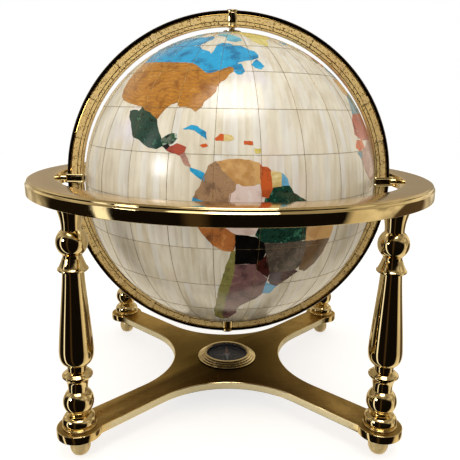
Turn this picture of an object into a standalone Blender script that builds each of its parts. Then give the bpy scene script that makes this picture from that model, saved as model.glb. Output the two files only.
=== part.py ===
"""Desktop globe on a four-legged brass stand.

A hollow globe turns on a vertical axle inside a full meridian ring.  The meridian
ring swings on two pins in a flat horizon ring, which stands on four turned legs.
The legs are stacks of turned pieces clamped by tie rods between the horizon ring
and a cross-shaped base plate, and a small compass sits in the middle of the plate.

Metres, +Z up, origin on the floor under the globe, swing pins along X.
"""

import math

import bmesh
import bpy
from mathutils import Matrix, Vector

# ---- Overall sizes -------------------------------------------------------------
GLOBE_R = 0.165  # outer radius of the globe
FOOT_H = 0.022  # floor to the underside of the base plate
PLATE_T = 0.0085  # thickness of the base plate
UNDER_CLEARANCE = 0.036  # top of the base plate to the lowest point of the meridian ring
GAP = 0.0003  # air left between two pieces that sit together

# ---- Globe ---------------------------------------------------------------------
SHELL_T = 0.005  # wall of the globe's two shells
POLE_HOLE_R = 0.0058  # hole in each shell for the pole bush
JOIN_BAND_H = 0.020  # height of the band that lines up the two shells inside
JOIN_BAND_T = 0.0025  # thickness of that band
BUSH_FLANGE_R = 0.010  # visible flange of the pole bush
BUSH_LIFT = 0.0010  # globe to the underside of that flange
BUSH_FLANGE_T = 0.0009
BUSH_HUB_H = 0.0020  # underside of the flange to the top of its hub
BUSH_TAIL = 0.004  # how far the bush's tube reaches into the hollow globe
AXLE_R = 0.003  # axle through the poles

# ---- Meridian ring -------------------------------------------------------------
GLOBE_CLEARANCE = 0.0065  # globe to the inside of the meridian ring
MERIDIAN_W = 0.017  # width of the meridian ring, measured along its radius
MERIDIAN_T = 0.012  # thickness of the meridian ring
MERIDIAN_RIM = 0.0044  # plain outer rim beside the engraved band
ENGRAVED_DEPTH = 0.0005  # how far the engraved band lies below the rims
MERIDIAN_SLOPE_R = 0.0016  # outer corners are cut back this much along the radius
MERIDIAN_SLOPE_T = 0.0022  # and this much along the thickness
POLE_BOSS_R = 0.0076  # round boss that carries the axle at each pole
POLE_BOSS_PROUD = 0.0006  # how far that boss stands out of the ring, inside and outside
COLLAR_H = 0.010  # height of the sleeves round the ring at the swing pins
COLLAR_WALL = 0.001  # wall of those sleeves
COLLAR_LIP = 0.0009  # how far each lip of a sleeve stands out
COLLAR_LIP_H = 0.0022  # height of each lip

# ---- Horizon ring --------------------------------------------------------------
SWING_CLEARANCE = 0.0083  # meridian ring to the inside of the horizon ring
RING_W = 0.0268  # flat top of the horizon ring, inner edge to outer line
RING_H = 0.015  # height of the horizon ring
RING_SHOULDER = 0.0033  # how far the outer skirt stands out beyond the flat top
RING_WALL = 0.0025  # wall of the hollow section
RING_EASE = 0.0006  # eased edges of the flat top
BEAD_OUT = 0.0018  # the bead stands this far beyond the line
BEAD_HIGH = 0.0012  # top of the bead, below the flat top
BEAD_LOW = 0.0026  # foot of the bead
SKIRT_DROP = 0.0042  # top of the skirt, below the flat top
RING_BOSS_R = 0.009  # bosses inside the ring over the legs
PIN_R = 0.003  # swing pins
PIN_HEAD_T = 0.0025  # pin heads inside the hollow ring
PIN_HEAD_CLEARANCE = 0.0005
PIN_ENTRY = 0.006  # how far each pin enters the meridian ring

# ---- Legs ----------------------------------------------------------------------
LEG_R = 0.0165  # largest radius of a leg
DOME_H = 0.013  # lowest turned piece
KNOP_H = 0.0495  # ball and bead above it
CAPITAL_H = 0.0587  # bell, ball and flare under the horizon ring
TIE_ROD_R = 0.003
FOOT_R = 0.010  # ball feet
FOOT_FLAT_R = 0.004  # flat that each foot stands on

# ---- Base plate ----------------------------------------------------------------
WAIST = 0.066  # centre of the plate to the middle of each hollowed side
ARM_HALF = 0.017  # half the width of an arm
PAD_R = 0.022  # round end of an arm, under a leg
EDGE_CHAMFER = 0.0008

# ---- Compass -------------------------------------------------------------------
COMPASS_R = 0.036  # lowest and widest step
COMPASS_STEPS = 4
STEP_EASE = 0.0006  # sloping edge of each step
STEP_IN = 0.0024  # each step is this much smaller than the one below it
STEP_UP = 0.0017  # and this much higher
CUP_FLOOR = 0.0011  # top of the plate to the floor of the cup
CUP_WALL = 0.0004  # wall between the lens and the top step
LENS_LEDGE = 0.0010
DIAL_T = 0.0006
LENS_T = 0.0012
POST_R = 0.0011
POST_H = 0.0020
NEEDLE_LIFT = 0.0036  # top of the plate to the middle of the needle
NEEDLE_T = 0.0004
NEEDLE_HALF_W = 0.0028
NEEDLE_HOLE_R = 0.0014
NEEDLE_MARGIN = 0.004  # needle tip to the side of the dial well

# ---- Smoothness of the round pieces --------------------------------------------
LEG_SIDES = 14
ROD_SIDES = 12
RING_SIDES = 64
GLOBE_SIDES = 36
GLOBE_BANDS = 8
COMPASS_SIDES = 24

# ---- Sizes that follow from the ones above --------------------------------------
BORE_R = PIN_R + GAP
ROD_BORE_R = TIE_ROD_R + GAP
MERIDIAN_IN = GLOBE_R + GLOBE_CLEARANCE
MERIDIAN_OUT = MERIDIAN_IN + MERIDIAN_W
RING_IN = MERIDIAN_OUT + SWING_CLEARANCE
RING_LINE = RING_IN + RING_W
RING_OUT = RING_LINE + RING_SHOULDER
LEG_AT = (RING_IN + RING_LINE) / 2 / math.sqrt(2)
PLATE_TOP = FOOT_H + PLATE_T
LEG_H = MERIDIAN_OUT + UNDER_CLEARANCE - RING_H / 2 - GAP
RING_BOTTOM = PLATE_TOP + LEG_H + GAP
RING_TOP = RING_BOTTOM + RING_H
PIVOT_Z = RING_BOTTOM + RING_H / 2
VASE_H = LEG_H - DOME_H - KNOP_H - CAPITAL_H
PIN_HEAD_R = RING_H / 2 - RING_WALL - PIN_HEAD_CLEARANCE
WELL_R = COMPASS_R - COMPASS_STEPS * STEP_IN - CUP_WALL
DIAL_WELL_R = WELL_R - LENS_LEDGE

CORNERS = (
    ("front_left", -1, -1),
    ("front_right", 1, -1),
    ("back_left", -1, 1),
    ("back_right", 1, 1),
)
SIDES = (("left", -1), ("right", 1))

# Turned profiles, from the top down: share of the leg's radius, share of the height.
DOME_PROFILE = ((0.58, 1.0), (0.80, 0.90), (0.94, 0.68), (1.0, 0.38), (0.98, 0.15), (0.93, 0.0))
KNOP_PROFILE = (
    (0.60, 1.0), (0.62, 0.94), (0.82, 0.885), (0.86, 0.85), (0.69, 0.75), (0.60, 0.63),
    (0.64, 0.56), (0.84, 0.44), (0.90, 0.28), (0.83, 0.13), (0.58, 0.0),
)
VASE_PROFILE = (
    (0.61, 1.0), (0.76, 0.68), (0.90, 0.42), (0.975, 0.19), (0.95, 0.11), (0.82, 0.055),
    (0.58, 0.03), (0.57, 0.0),
)
CAPITAL_PROFILE = (
    (0.76, 1.0), (0.74, 0.97), (0.61, 0.86), (0.50, 0.735), (0.72, 0.665), (0.86, 0.55),
    (0.86, 0.43), (0.76, 0.31), (0.59, 0.21), (0.66, 0.10), (0.82, 0.04), (0.845, 0.01),
    (0.80, 0.0),
)
FOOT_PROFILE = ((0.65, 1.0), (0.65, 0.83), (0.90, 0.66), (1.0, 0.46), (0.90, 0.24), (0.66, 0.08))


# ---- Scene ----------------------------------------------------------------------
def clear_scene():
    for obj in list(bpy.data.objects):
        bpy.data.objects.remove(obj, do_unlink=True)


def collection(name, helper=False):
    made = bpy.data.collections.new(name)
    made.hide_render = helper
    bpy.context.scene.collection.children.link(made)
    return made


def material(name, colour, metallic, roughness):
    made = bpy.data.materials.new(name)
    made.use_nodes = True
    shader = made.node_tree.nodes["Principled BSDF"]
    shader.inputs["Base Color"].default_value = (*colour, 1.0)
    shader.inputs["Metallic"].default_value = metallic
    shader.inputs["Roughness"].default_value = roughness
    return made


# ---- Shapes ---------------------------------------------------------------------
def add_part(name, mesh, at, surface):
    obj = bpy.data.objects.new(name, mesh)
    obj.location = at
    if not mesh.materials:
        mesh.materials.append(surface)
    PARTS.objects.link(obj)
    return obj


def add_cutter(name, mesh):
    obj = bpy.data.objects.new(name, mesh)
    obj.hide_render = True
    obj.display_type = "WIRE"
    CUTTERS.objects.link(obj)
    return obj


def outline_mesh(name, points, closed):
    """Profile points (radius, height) as a line of edges in the XZ plane."""
    mesh = bpy.data.meshes.new(name)
    edges = [(i, i + 1) for i in range(len(points) - 1)]
    if closed:
        edges.append((len(points) - 1, 0))
    mesh.from_pydata([(r, 0.0, z) for r, z in points], edges, [])
    return mesh


def turn(obj, sides):
    """Turns the profile once round its own Z axis."""
    screw = obj.modifiers.new("turned", "SCREW")
    screw.steps = sides
    screw.render_steps = sides
    screw.use_merge_vertices = True
    screw.merge_threshold = 0.00001
    screw.use_smooth_shade = True
    return obj


def shaped(profile, radius, bottom, height):
    """A profile given in shares becomes (radius, height) points above the bottom."""
    return [(share * radius, bottom + up * height) for share, up in profile]


def bored(points, bore):
    """Closes a profile with a bore that runs right through it."""
    return points + [(bore, points[-1][1]), (bore, points[0][1])]


def solid_round(points):
    """Closes a profile on its axis at both ends."""
    return [(0.0, points[0][1])] + points + [(0.0, points[-1][1])]


def cylinder_mesh(name, radius, low, high, sides, axis="Z"):
    """Cylinder along an axis, from one distance to another."""
    mesh = bpy.data.meshes.new(name)
    shape = bmesh.new()
    bmesh.ops.create_cone(
        shape, cap_ends=True, segments=sides, radius1=radius, radius2=radius, depth=high - low
    )
    bmesh.ops.translate(shape, verts=shape.verts, vec=(0.0, 0.0, (low + high) / 2))
    if axis == "X":
        turned = Matrix.Rotation(math.radians(90), 3, "Y")
        bmesh.ops.rotate(shape, verts=shape.verts, cent=(0.0, 0.0, 0.0), matrix=turned)
    shape.to_mesh(mesh)
    shape.free()
    return mesh


def box_mesh(name, size, centre=(0.0, 0.0, 0.0)):
    mesh = bpy.data.meshes.new(name)
    shape = bmesh.new()
    bmesh.ops.create_cube(shape, size=1.0)
    bmesh.ops.scale(shape, verts=shape.verts, vec=size)
    bmesh.ops.translate(shape, verts=shape.verts, vec=centre)
    shape.to_mesh(mesh)
    shape.free()
    return mesh


def combine(obj, cutter, operation):
    step = obj.modifiers.new(operation.lower(), "BOOLEAN")
    step.object = cutter
    step.operation = operation
    step.solver = "EXACT"
    return step


# ---- Base -----------------------------------------------------------------------
def plate_outline():
    """One side of the cross-shaped plate, repeated on all four sides."""
    reach = ARM_HALF * math.sqrt(2)
    swing = (WAIST * math.sqrt(2) - reach) / (math.sqrt(2) - 1) - WAIST
    middle = WAIST + swing
    join = math.asin(ARM_HALF / PAD_R)
    side = []
    for i in range(13):
        angle = math.radians(45 - 90 * i / 12)
        side.append(Vector((-swing * math.sin(angle), swing * math.cos(angle) - middle)))
    pad = Vector((LEG_AT, -LEG_AT))
    for i in range(13):
        angle = math.radians(-45) + (math.pi - join) * (i - 6) / 6
        side.append(pad + PAD_R * Vector((math.cos(angle), math.sin(angle))))
    points = []
    for quarter in range(4):
        points += [Matrix.Rotation(quarter * math.pi / 2, 2) @ point for point in side]
    return points


def add_ring_of_points(curve, points):
    spline = curve.splines.new("POLY")
    spline.points.add(len(points) - 1)
    for slot, point in zip(spline.points, points):
        slot.co = (point[0], point[1], 0.0, 1.0)
    spline.use_cyclic_u = True


def circle_points(radius, sides, x, y):
    angles = [2 * math.pi * i / sides for i in range(sides)]
    return [(x + radius * math.cos(a), y + radius * math.sin(a)) for a in angles]


def base_plate(brass):
    curve = bpy.data.curves.new("base_plate_outline", "CURVE")
    curve.dimensions = "2D"
    curve.fill_mode = "BOTH"
    curve.extrude = PLATE_T / 2
    add_ring_of_points(curve, plate_outline())
    for _, sx, sy in CORNERS:
        hole = circle_points(ROD_BORE_R, ROD_SIDES, sx * LEG_AT, sy * LEG_AT)
        add_ring_of_points(curve, hole)
    guide = bpy.data.objects.new("base_plate_outline", curve)
    CUTTERS.objects.link(guide)
    guide.hide_render = True
    bpy.context.view_layer.update()
    mesh = bpy.data.meshes.new_from_object(guide)
    shape = bmesh.new()
    shape.from_mesh(mesh)
    bmesh.ops.remove_doubles(shape, verts=shape.verts, dist=0.000001)
    bmesh.ops.translate(shape, verts=shape.verts, vec=(0.0, 0.0, PLATE_T / 2))
    shape.to_mesh(mesh)
    shape.free()
    bpy.data.objects.remove(guide)
    mesh.materials.clear()
    plate = add_part("base_plate", mesh, (0.0, 0.0, FOOT_H), brass)
    edge = plate.modifiers.new("edge", "BEVEL")
    edge.width = EDGE_CHAMFER
    edge.segments = 1
    edge.limit_method = "ANGLE"
    edge.angle_limit = math.radians(60)


def feet(brass):
    """Ball feet, each with a blind hole for the end of a tie rod."""
    outside = shaped(FOOT_PROFILE, FOOT_R, 0.0, FOOT_H - GAP)
    hole = [(0.0, FOOT_H / 2), (ROD_BORE_R, FOOT_H / 2), (ROD_BORE_R, FOOT_H - GAP)]
    profile = hole + outside + [(FOOT_FLAT_R, 0.0), (0.0, 0.0)]
    mesh = outline_mesh("foot", profile, closed=False)
    for corner, sx, sy in CORNERS:
        turn(add_part(f"foot_{corner}", mesh, (sx * LEG_AT, sy * LEG_AT, 0.0), brass), LEG_SIDES)


# ---- Legs -----------------------------------------------------------------------
def leg_piece(name, profile, bottom, height, brass):
    """One turned piece, the same on all four legs, bored for the tie rod."""
    points = shaped(profile, LEG_R, GAP, height - GAP)
    mesh = outline_mesh(name, bored(points, ROD_BORE_R), closed=True)
    for corner, sx, sy in CORNERS:
        at = (sx * LEG_AT, sy * LEG_AT, bottom)
        turn(add_part(f"leg_{name}_{corner}", mesh, at, brass), LEG_SIDES)


def legs(brass):
    floor = PLATE_TOP
    for name, profile, height in (
        ("dome", DOME_PROFILE, DOME_H),
        ("knop", KNOP_PROFILE, KNOP_H),
        ("vase", VASE_PROFILE, VASE_H),
        ("capital", CAPITAL_PROFILE, CAPITAL_H),
    ):
        leg_piece(name, profile, floor, height, brass)
        floor += height


def rod_end():
    """Height of the top of the tie rods, inside the bosses of the horizon ring."""
    return RING_TOP - 2 * RING_WALL


def tie_rods(steel):
    low = FOOT_H / 2 + GAP
    profile = solid_round([(TIE_ROD_R, rod_end() - GAP), (TIE_ROD_R, low)])
    mesh = outline_mesh("tie_rod", profile, closed=False)
    for corner, sx, sy in CORNERS:
        at = (sx * LEG_AT, sy * LEG_AT, 0.0)
        turn(add_part(f"tie_rod_{corner}", mesh, at, steel), ROD_SIDES)


# ---- Horizon ring ---------------------------------------------------------------
def horizon_profile():
    """Hollow section, open underneath, with a beaded shoulder on the outside."""
    low = RING_BOTTOM
    top = RING_TOP
    outer = RING_OUT
    line = RING_LINE
    bead = line + BEAD_OUT
    under_skirt = top - SKIRT_DROP - RING_EASE
    return [
        (RING_IN + RING_EASE, top),
        (line - RING_EASE / 2, top),
        (line + RING_EASE, top - RING_EASE),
        (bead, top - BEAD_HIGH),
        (bead, top - BEAD_LOW),
        (outer, top - SKIRT_DROP),
        (outer, low + RING_EASE),
        (outer - RING_EASE, low),
        (outer - RING_WALL, low),
        (outer - RING_WALL, under_skirt),
        (line - RING_EASE, top - RING_WALL),
        (RING_IN + RING_WALL, top - RING_WALL),
        (RING_IN + RING_WALL, low),
        (RING_IN, low),
        (RING_IN, top - RING_EASE),
    ]


def horizon_ring(brass):
    mesh = outline_mesh("horizon_ring", horizon_profile(), closed=True)
    ring = turn(add_part("horizon_ring", mesh, (0.0, 0.0, 0.0), brass), RING_SIDES)
    for corner, sx, sy in CORNERS:
        boss = cylinder_mesh("boss", RING_BOSS_R, RING_BOTTOM, RING_TOP - RING_WALL / 2, 16)
        boss.transform(Matrix.Translation((sx * LEG_AT, sy * LEG_AT, 0.0)))
        combine(ring, add_cutter(f"boss_{corner}", boss), "UNION")
    for corner, sx, sy in CORNERS:
        hole = cylinder_mesh("hole", ROD_BORE_R, RING_BOTTOM - 0.005, rod_end(), ROD_SIDES)
        hole.transform(Matrix.Translation((sx * LEG_AT, sy * LEG_AT, 0.0)))
        combine(ring, add_cutter(f"hole_{corner}", hole), "DIFFERENCE")
    for side, sx in SIDES:
        middle = RING_IN + RING_WALL / 2
        hole = cylinder_mesh("hole", BORE_R, middle - 0.004, middle + 0.004, ROD_SIDES, "X")
        hole.transform(Matrix.Translation((0.0, 0.0, PIVOT_Z)))
        if sx < 0:
            hole.transform(Matrix.Rotation(math.pi, 4, "Z"))
        combine(ring, add_cutter(f"pin_hole_{side}", hole), "DIFFERENCE")


def pin_tip():
    """Distance from the globe's axle to the tip of each swing pin."""
    return MERIDIAN_OUT - PIN_ENTRY


def swing_pins(steel):
    """Headed pins, put in from inside the hollow ring and pointing at the globe."""
    wall = RING_IN + RING_WALL + GAP
    end = wall + PIN_HEAD_T
    points = [(PIN_HEAD_R, end), (PIN_HEAD_R, wall), (PIN_R, wall), (PIN_R, pin_tip())]
    mesh = outline_mesh("swing_pin", solid_round(points), closed=False)
    for side, sx in SIDES:
        pin = turn(add_part(f"swing_pin_{side}", mesh, (0.0, 0.0, PIVOT_Z), steel), LEG_SIDES)
        pin.rotation_euler = (0.0, sx * math.radians(90), 0.0)


# ---- Meridian ring --------------------------------------------------------------
def meridian_profile():
    """Section of the ring: radius, and distance from its middle plane."""
    half = MERIDIAN_T / 2
    band = half - ENGRAVED_DEPTH
    rim = MERIDIAN_OUT - MERIDIAN_RIM
    corner = MERIDIAN_OUT - MERIDIAN_SLOPE_R
    edge = half - MERIDIAN_SLOPE_T
    return [
        (MERIDIAN_IN, band), (rim - ENGRAVED_DEPTH, band), (rim, half),
        (corner, half), (MERIDIAN_OUT, edge), (MERIDIAN_OUT, -edge), (corner, -half),
        (rim, -half), (rim - ENGRAVED_DEPTH, -band), (MERIDIAN_IN, -band),
    ]


def meridian_ring(brass):
    """Ring in the XZ plane with a boss at each pole, bored for axle and pins."""
    mesh = outline_mesh("meridian_ring", meridian_profile(), closed=True)
    ring = turn(add_part("meridian_ring", mesh, (0.0, 0.0, PIVOT_Z), brass), RING_SIDES)
    ring.rotation_euler = (math.radians(90), 0.0, 0.0)
    inner = MERIDIAN_IN - POLE_BOSS_PROUD
    outer = MERIDIAN_OUT + POLE_BOSS_PROUD
    for pole, low, high in (("north", inner, outer), ("south", -outer, -inner)):
        boss = cylinder_mesh("pole_boss", POLE_BOSS_R, PIVOT_Z + low, PIVOT_Z + high, 20)
        combine(ring, add_cutter(f"pole_boss_{pole}", boss), "UNION")
    axle = cylinder_mesh(
        "axle_bore", AXLE_R + GAP, PIVOT_Z - outer - 0.01, PIVOT_Z + outer + 0.01, ROD_SIDES
    )
    combine(ring, add_cutter("axle_bore", axle), "DIFFERENCE")
    for side, sx in SIDES:
        hole = cylinder_mesh("hole", BORE_R, pin_tip() - GAP, MERIDIAN_OUT + 0.01, ROD_SIDES, "X")
        hole.transform(Matrix.Translation((0.0, 0.0, PIVOT_Z)))
        if sx < 0:
            hole.transform(Matrix.Rotation(math.pi, 4, "Z"))
        combine(ring, add_cutter(f"pivot_bore_{side}", hole), "DIFFERENCE")


def rounded_box(name, size, centre, radius):
    block = add_cutter(name, box_mesh(name, size, centre))
    edge = block.modifiers.new("edge", "BEVEL")
    edge.width = radius
    edge.segments = 2
    edge.limit_method = "NONE"
    return block


def swing_collars(brass):
    """Sleeves round the meridian ring where the pins enter, each with two lips."""
    width = MERIDIAN_W + 2 * (GAP + COLLAR_WALL)
    depth = MERIDIAN_T + 2 * (GAP + COLLAR_WALL)
    for side, sx in SIDES:
        x = sx * (MERIDIAN_IN + MERIDIAN_OUT) / 2
        strap = box_mesh("collar", (width, depth, COLLAR_H - COLLAR_LIP_H / 2), (x, 0.0, 0.0))
        collar = add_part(f"swing_collar_{side}", strap, (0.0, 0.0, PIVOT_Z), brass)
        for end, up in (("low", -1), ("high", 1)):
            size = (width + 2 * COLLAR_LIP, depth + 2 * COLLAR_LIP, COLLAR_LIP_H)
            centre = (x, 0.0, PIVOT_Z + up * (COLLAR_H - COLLAR_LIP_H) / 2)
            lip = rounded_box(f"collar_lip_{end}_{side}", size, centre, COLLAR_LIP * 0.8)
            combine(collar, lip, "UNION")
        size = (MERIDIAN_W + 2 * GAP, MERIDIAN_T + 2 * GAP, 2 * COLLAR_H)
        slot = add_cutter(f"collar_slot_{side}", box_mesh("slot", size, (x, 0.0, PIVOT_Z)))
        combine(collar, slot, "DIFFERENCE")
        face = sx * MERIDIAN_OUT
        reach = 4 * COLLAR_WALL
        hole = cylinder_mesh("hole", BORE_R, face - reach, face + reach, ROD_SIDES, "X")
        hole.transform(Matrix.Translation((0.0, 0.0, PIVOT_Z)))
        combine(collar, add_cutter(f"collar_bore_{side}", hole), "DIFFERENCE")


def axle(steel):
    """Straight rod held in the two pole bosses, on which the globe turns."""
    half = MERIDIAN_OUT + POLE_BOSS_PROUD - GAP
    mesh = outline_mesh("axle", solid_round([(AXLE_R, half), (AXLE_R, -half)]), closed=False)
    turn(add_part("axle", mesh, (0.0, 0.0, PIVOT_Z), steel), ROD_SIDES)


# ---- Globe ----------------------------------------------------------------------
def arc(radius, start_height, hole_r):
    """Quarter circle from the edge of the pole hole down to the equator."""
    first = math.asin(hole_r / radius)
    last = math.acos(start_height / radius)
    angles = [first + (last - first) * i / GLOBE_BANDS for i in range(GLOBE_BANDS + 1)]
    return [(radius * math.sin(a), radius * math.cos(a)) for a in angles]


def globe_shells(pearl):
    """Two hollow half globes that meet at the equator."""
    outside = arc(GLOBE_R, GAP / 2, POLE_HOLE_R)
    inside = arc(GLOBE_R - SHELL_T, GAP / 2, POLE_HOLE_R)
    profile = outside + inside[::-1]
    north = outline_mesh("globe_shell_north", profile, closed=True)
    turn(add_part("globe_shell_north", north, (0.0, 0.0, PIVOT_Z), pearl), GLOBE_SIDES)
    mirrored = [(r, -z) for r, z in profile[::-1]]
    south = outline_mesh("globe_shell_south", mirrored, closed=True)
    turn(add_part("globe_shell_south", south, (0.0, 0.0, PIVOT_Z), pearl), GLOBE_SIDES)


def joining_band(resin):
    """Band inside the equator that keeps the two shells in line."""
    half = JOIN_BAND_H / 2
    hollow = GLOBE_R - SHELL_T
    # A shell of flat facets comes closer to the axle than the true sphere does.
    outer = math.sqrt(hollow**2 - half**2) * math.cos(math.pi / GLOBE_SIDES) - 2 * GAP
    points = bored([(outer, half), (outer, -half)], outer - JOIN_BAND_T)
    mesh = outline_mesh("joining_band", points, closed=True)
    turn(add_part("joining_band", mesh, (0.0, 0.0, PIVOT_Z), resin), GLOBE_SIDES)


def bush_profile():
    """Flanged bush: flange clear of the globe, tube through the pole hole."""
    flange = GLOBE_R + BUSH_LIFT
    tube = POLE_HOLE_R - GAP
    top = flange + BUSH_FLANGE_T
    hub = (AXLE_R + tube) / 2
    return [
        (hub, flange + BUSH_HUB_H), (tube, top + GAP), (BUSH_FLANGE_R, top),
        (BUSH_FLANGE_R, flange), (tube + BUSH_LIFT, flange - GAP), (tube, flange - BUSH_LIFT),
        (tube, GLOBE_R - SHELL_T - BUSH_TAIL),
    ]


def pole_bushes(brass):
    bore = AXLE_R + GAP
    north = outline_mesh("pole_bush_north", bored(bush_profile(), bore), closed=True)
    turn(add_part("pole_bush_north", north, (0.0, 0.0, PIVOT_Z), brass), LEG_SIDES)
    mirrored = [(r, -z) for r, z in bush_profile()[::-1]]
    south = outline_mesh("pole_bush_south", bored(mirrored, bore), closed=True)
    turn(add_part("pole_bush_south", south, (0.0, 0.0, PIVOT_Z), brass), LEG_SIDES)


# ---- Compass --------------------------------------------------------------------
def compass_levels():
    """Heights above the plate of the compass rim and the ledge under the lens."""
    rim = COMPASS_STEPS * STEP_UP
    return rim, rim - LENS_T - GAP


def compass_housing(brass):
    """Stepped cup with a ledge for the lens."""
    rim, ledge = compass_levels()
    outside = []
    for step in reversed(range(COMPASS_STEPS)):
        radius = COMPASS_R - step * STEP_IN
        outside.append((radius - STEP_EASE, (step + 1) * STEP_UP))
        outside.append((radius, (step + 1) * STEP_UP - STEP_EASE))
        outside.append((radius, max(step * STEP_UP, GAP)))
    inside = [
        (0.0, CUP_FLOOR), (DIAL_WELL_R, CUP_FLOOR), (DIAL_WELL_R, ledge), (WELL_R, ledge),
        (WELL_R, rim),
    ]
    mesh = outline_mesh("compass_housing", inside + outside + [(0.0, GAP)], closed=False)
    turn(add_part("compass_housing", mesh, (0.0, 0.0, PLATE_TOP), brass), COMPASS_SIDES)


def compass_dial(black):
    low = CUP_FLOOR + GAP
    radius = DIAL_WELL_R - GAP
    points = solid_round([(radius, low + DIAL_T), (radius, low)])
    mesh = outline_mesh("compass_dial", points, closed=False)
    turn(add_part("compass_dial", mesh, (0.0, 0.0, PLATE_TOP), black), COMPASS_SIDES)


def compass_pivot(steel):
    """Sharp post that the needle turns on."""
    low = CUP_FLOOR + GAP + DIAL_T + GAP
    points = [(POST_R / 3, low + POST_H), (POST_R, low + POST_H / 3), (POST_R, low)]
    mesh = outline_mesh("compass_pivot", solid_round(points), closed=False)
    turn(add_part("compass_pivot", mesh, (0.0, 0.0, PLATE_TOP), steel), ROD_SIDES)


def compass_needle(red):
    """Long lozenge with a hole over the post."""
    half = DIAL_WELL_R - NEEDLE_MARGIN
    wide = NEEDLE_HALF_W
    curve = bpy.data.curves.new("needle_outline", "CURVE")
    curve.dimensions = "2D"
    curve.fill_mode = "BOTH"
    curve.extrude = NEEDLE_T / 2
    add_ring_of_points(curve, [(wide, 0.0), (0.0, half), (-wide, 0.0), (0.0, -half)])
    add_ring_of_points(curve, circle_points(NEEDLE_HOLE_R, 8, 0.0, 0.0))
    guide = bpy.data.objects.new("needle_outline", curve)
    CUTTERS.objects.link(guide)
    bpy.context.view_layer.update()
    mesh = bpy.data.meshes.new_from_object(guide)
    bpy.data.objects.remove(guide)
    shape = bmesh.new()
    shape.from_mesh(mesh)
    bmesh.ops.remove_doubles(shape, verts=shape.verts, dist=0.000001)
    shape.to_mesh(mesh)
    shape.free()
    mesh.materials.clear()
    add_part("compass_needle", mesh, (0.0, 0.0, PLATE_TOP + NEEDLE_LIFT), red)


def compass_lens(glass):
    rim, ledge = compass_levels()
    radius = WELL_R - GAP
    points = solid_round([(radius, rim), (radius, ledge + GAP)])
    mesh = outline_mesh("compass_lens", points, closed=False)
    turn(add_part("compass_lens", mesh, (0.0, 0.0, PLATE_TOP), glass), COMPASS_SIDES)


clear_scene()
PARTS = collection("desktop_globe")
CUTTERS = collection("cutters", helper=True)

brass = material("polished_brass", (0.78, 0.57, 0.28), 1.0, 0.14)
satin = material("satin_brass", (0.72, 0.55, 0.36), 1.0, 0.30)
antique = material("antique_brass", (0.55, 0.38, 0.16), 1.0, 0.42)
brushed = material("brushed_brass", (0.42, 0.31, 0.16), 1.0, 0.38)
steel = material("plain_steel", (0.55, 0.55, 0.56), 1.0, 0.30)
pearl = material("mother_of_pearl", (0.85, 0.80, 0.66), 0.0, 0.18)
resin = material("cast_resin", (0.70, 0.66, 0.58), 0.0, 0.55)
black = material("black_dial", (0.02, 0.02, 0.025), 0.0, 0.35)
red = material("needle_enamel", (0.60, 0.10, 0.06), 0.0, 0.35)
glass = material("clear_lens", (0.92, 0.95, 0.96), 0.0, 0.03)

base_plate(brushed)
feet(brass)
legs(brass)
tie_rods(steel)
horizon_ring(satin)
swing_pins(brass)
meridian_ring(antique)
swing_collars(brass)
axle(steel)
globe_shells(pearl)
joining_band(resin)
pole_bushes(brass)
compass_housing(brass)
compass_dial(black)
compass_pivot(steel)
compass_needle(red)
compass_lens(glass)
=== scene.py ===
# %% [markdown]
# # A desk globe on a brass stand
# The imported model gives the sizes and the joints.  This lesson dresses it: it builds the
# turned legs, the rings, the compass and the inlaid globe finely enough to stand up to a
# close look, and gives every surface a finish of its own.  Each piece is made where it
# belongs, and then rides on the body it moves with: stand, meridian, globe or needle.

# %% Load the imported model
import math
import random

import bmesh
import bpy
from mathutils import Matrix, Vector
from mathutils.geometry import delaunay_2d_cdt


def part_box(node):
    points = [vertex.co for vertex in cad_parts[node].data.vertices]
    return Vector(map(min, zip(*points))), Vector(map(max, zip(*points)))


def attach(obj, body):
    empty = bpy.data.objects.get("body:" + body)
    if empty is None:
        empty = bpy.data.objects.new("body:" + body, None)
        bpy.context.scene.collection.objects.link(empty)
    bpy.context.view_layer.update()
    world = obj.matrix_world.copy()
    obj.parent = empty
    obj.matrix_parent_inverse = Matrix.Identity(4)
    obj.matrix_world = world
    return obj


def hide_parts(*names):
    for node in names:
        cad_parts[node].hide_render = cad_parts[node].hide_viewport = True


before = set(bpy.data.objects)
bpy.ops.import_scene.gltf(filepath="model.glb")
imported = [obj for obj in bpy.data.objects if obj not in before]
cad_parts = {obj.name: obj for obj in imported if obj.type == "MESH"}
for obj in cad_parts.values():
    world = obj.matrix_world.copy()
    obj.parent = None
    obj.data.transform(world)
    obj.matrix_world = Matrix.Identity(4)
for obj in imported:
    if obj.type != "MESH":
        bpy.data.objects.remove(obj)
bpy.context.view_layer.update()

# %% [markdown]
# The model's own boxes give the main sizes, so nothing here is fitted by eye.  Wall
# thicknesses and the small steps of a profile don't show in a box, and are named below.
# MM turns millimetres into metres, and keeps the numbers readable.

# %% Sizes from the model
MM = 0.001
AIR = 0.3 * MM
ring_low, ring_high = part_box("horizon_ring")
plate_low, plate_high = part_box("base_plate")
GLOBE_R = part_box("globe_shell_north")[1].x
RING_OUT = ring_high.x
RING_TOP = ring_high.z
RING_BOTTOM = ring_low.z
PIVOT = Vector((0, 0, (RING_TOP + RING_BOTTOM) / 2))
PLATE_TOP = plate_high.z
PLATE_BOTTOM = plate_low.z
MERIDIAN_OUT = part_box("meridian_ring")[1].x
MERIDIAN_WIDE = 17 * MM
MERIDIAN_IN = MERIDIAN_OUT - MERIDIAN_WIDE
SWING_GAP = 8.3 * MM
RING_IN = MERIDIAN_OUT + SWING_GAP
RING_TOP_WIDE = 26.8 * MM
RING_LINE = RING_IN + RING_TOP_WIDE
leg_low, leg_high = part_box("leg_vase_front_right")
LEG_AT = (leg_low.x + leg_high.x) / 2
LEG_R = 16.5 * MM
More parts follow.
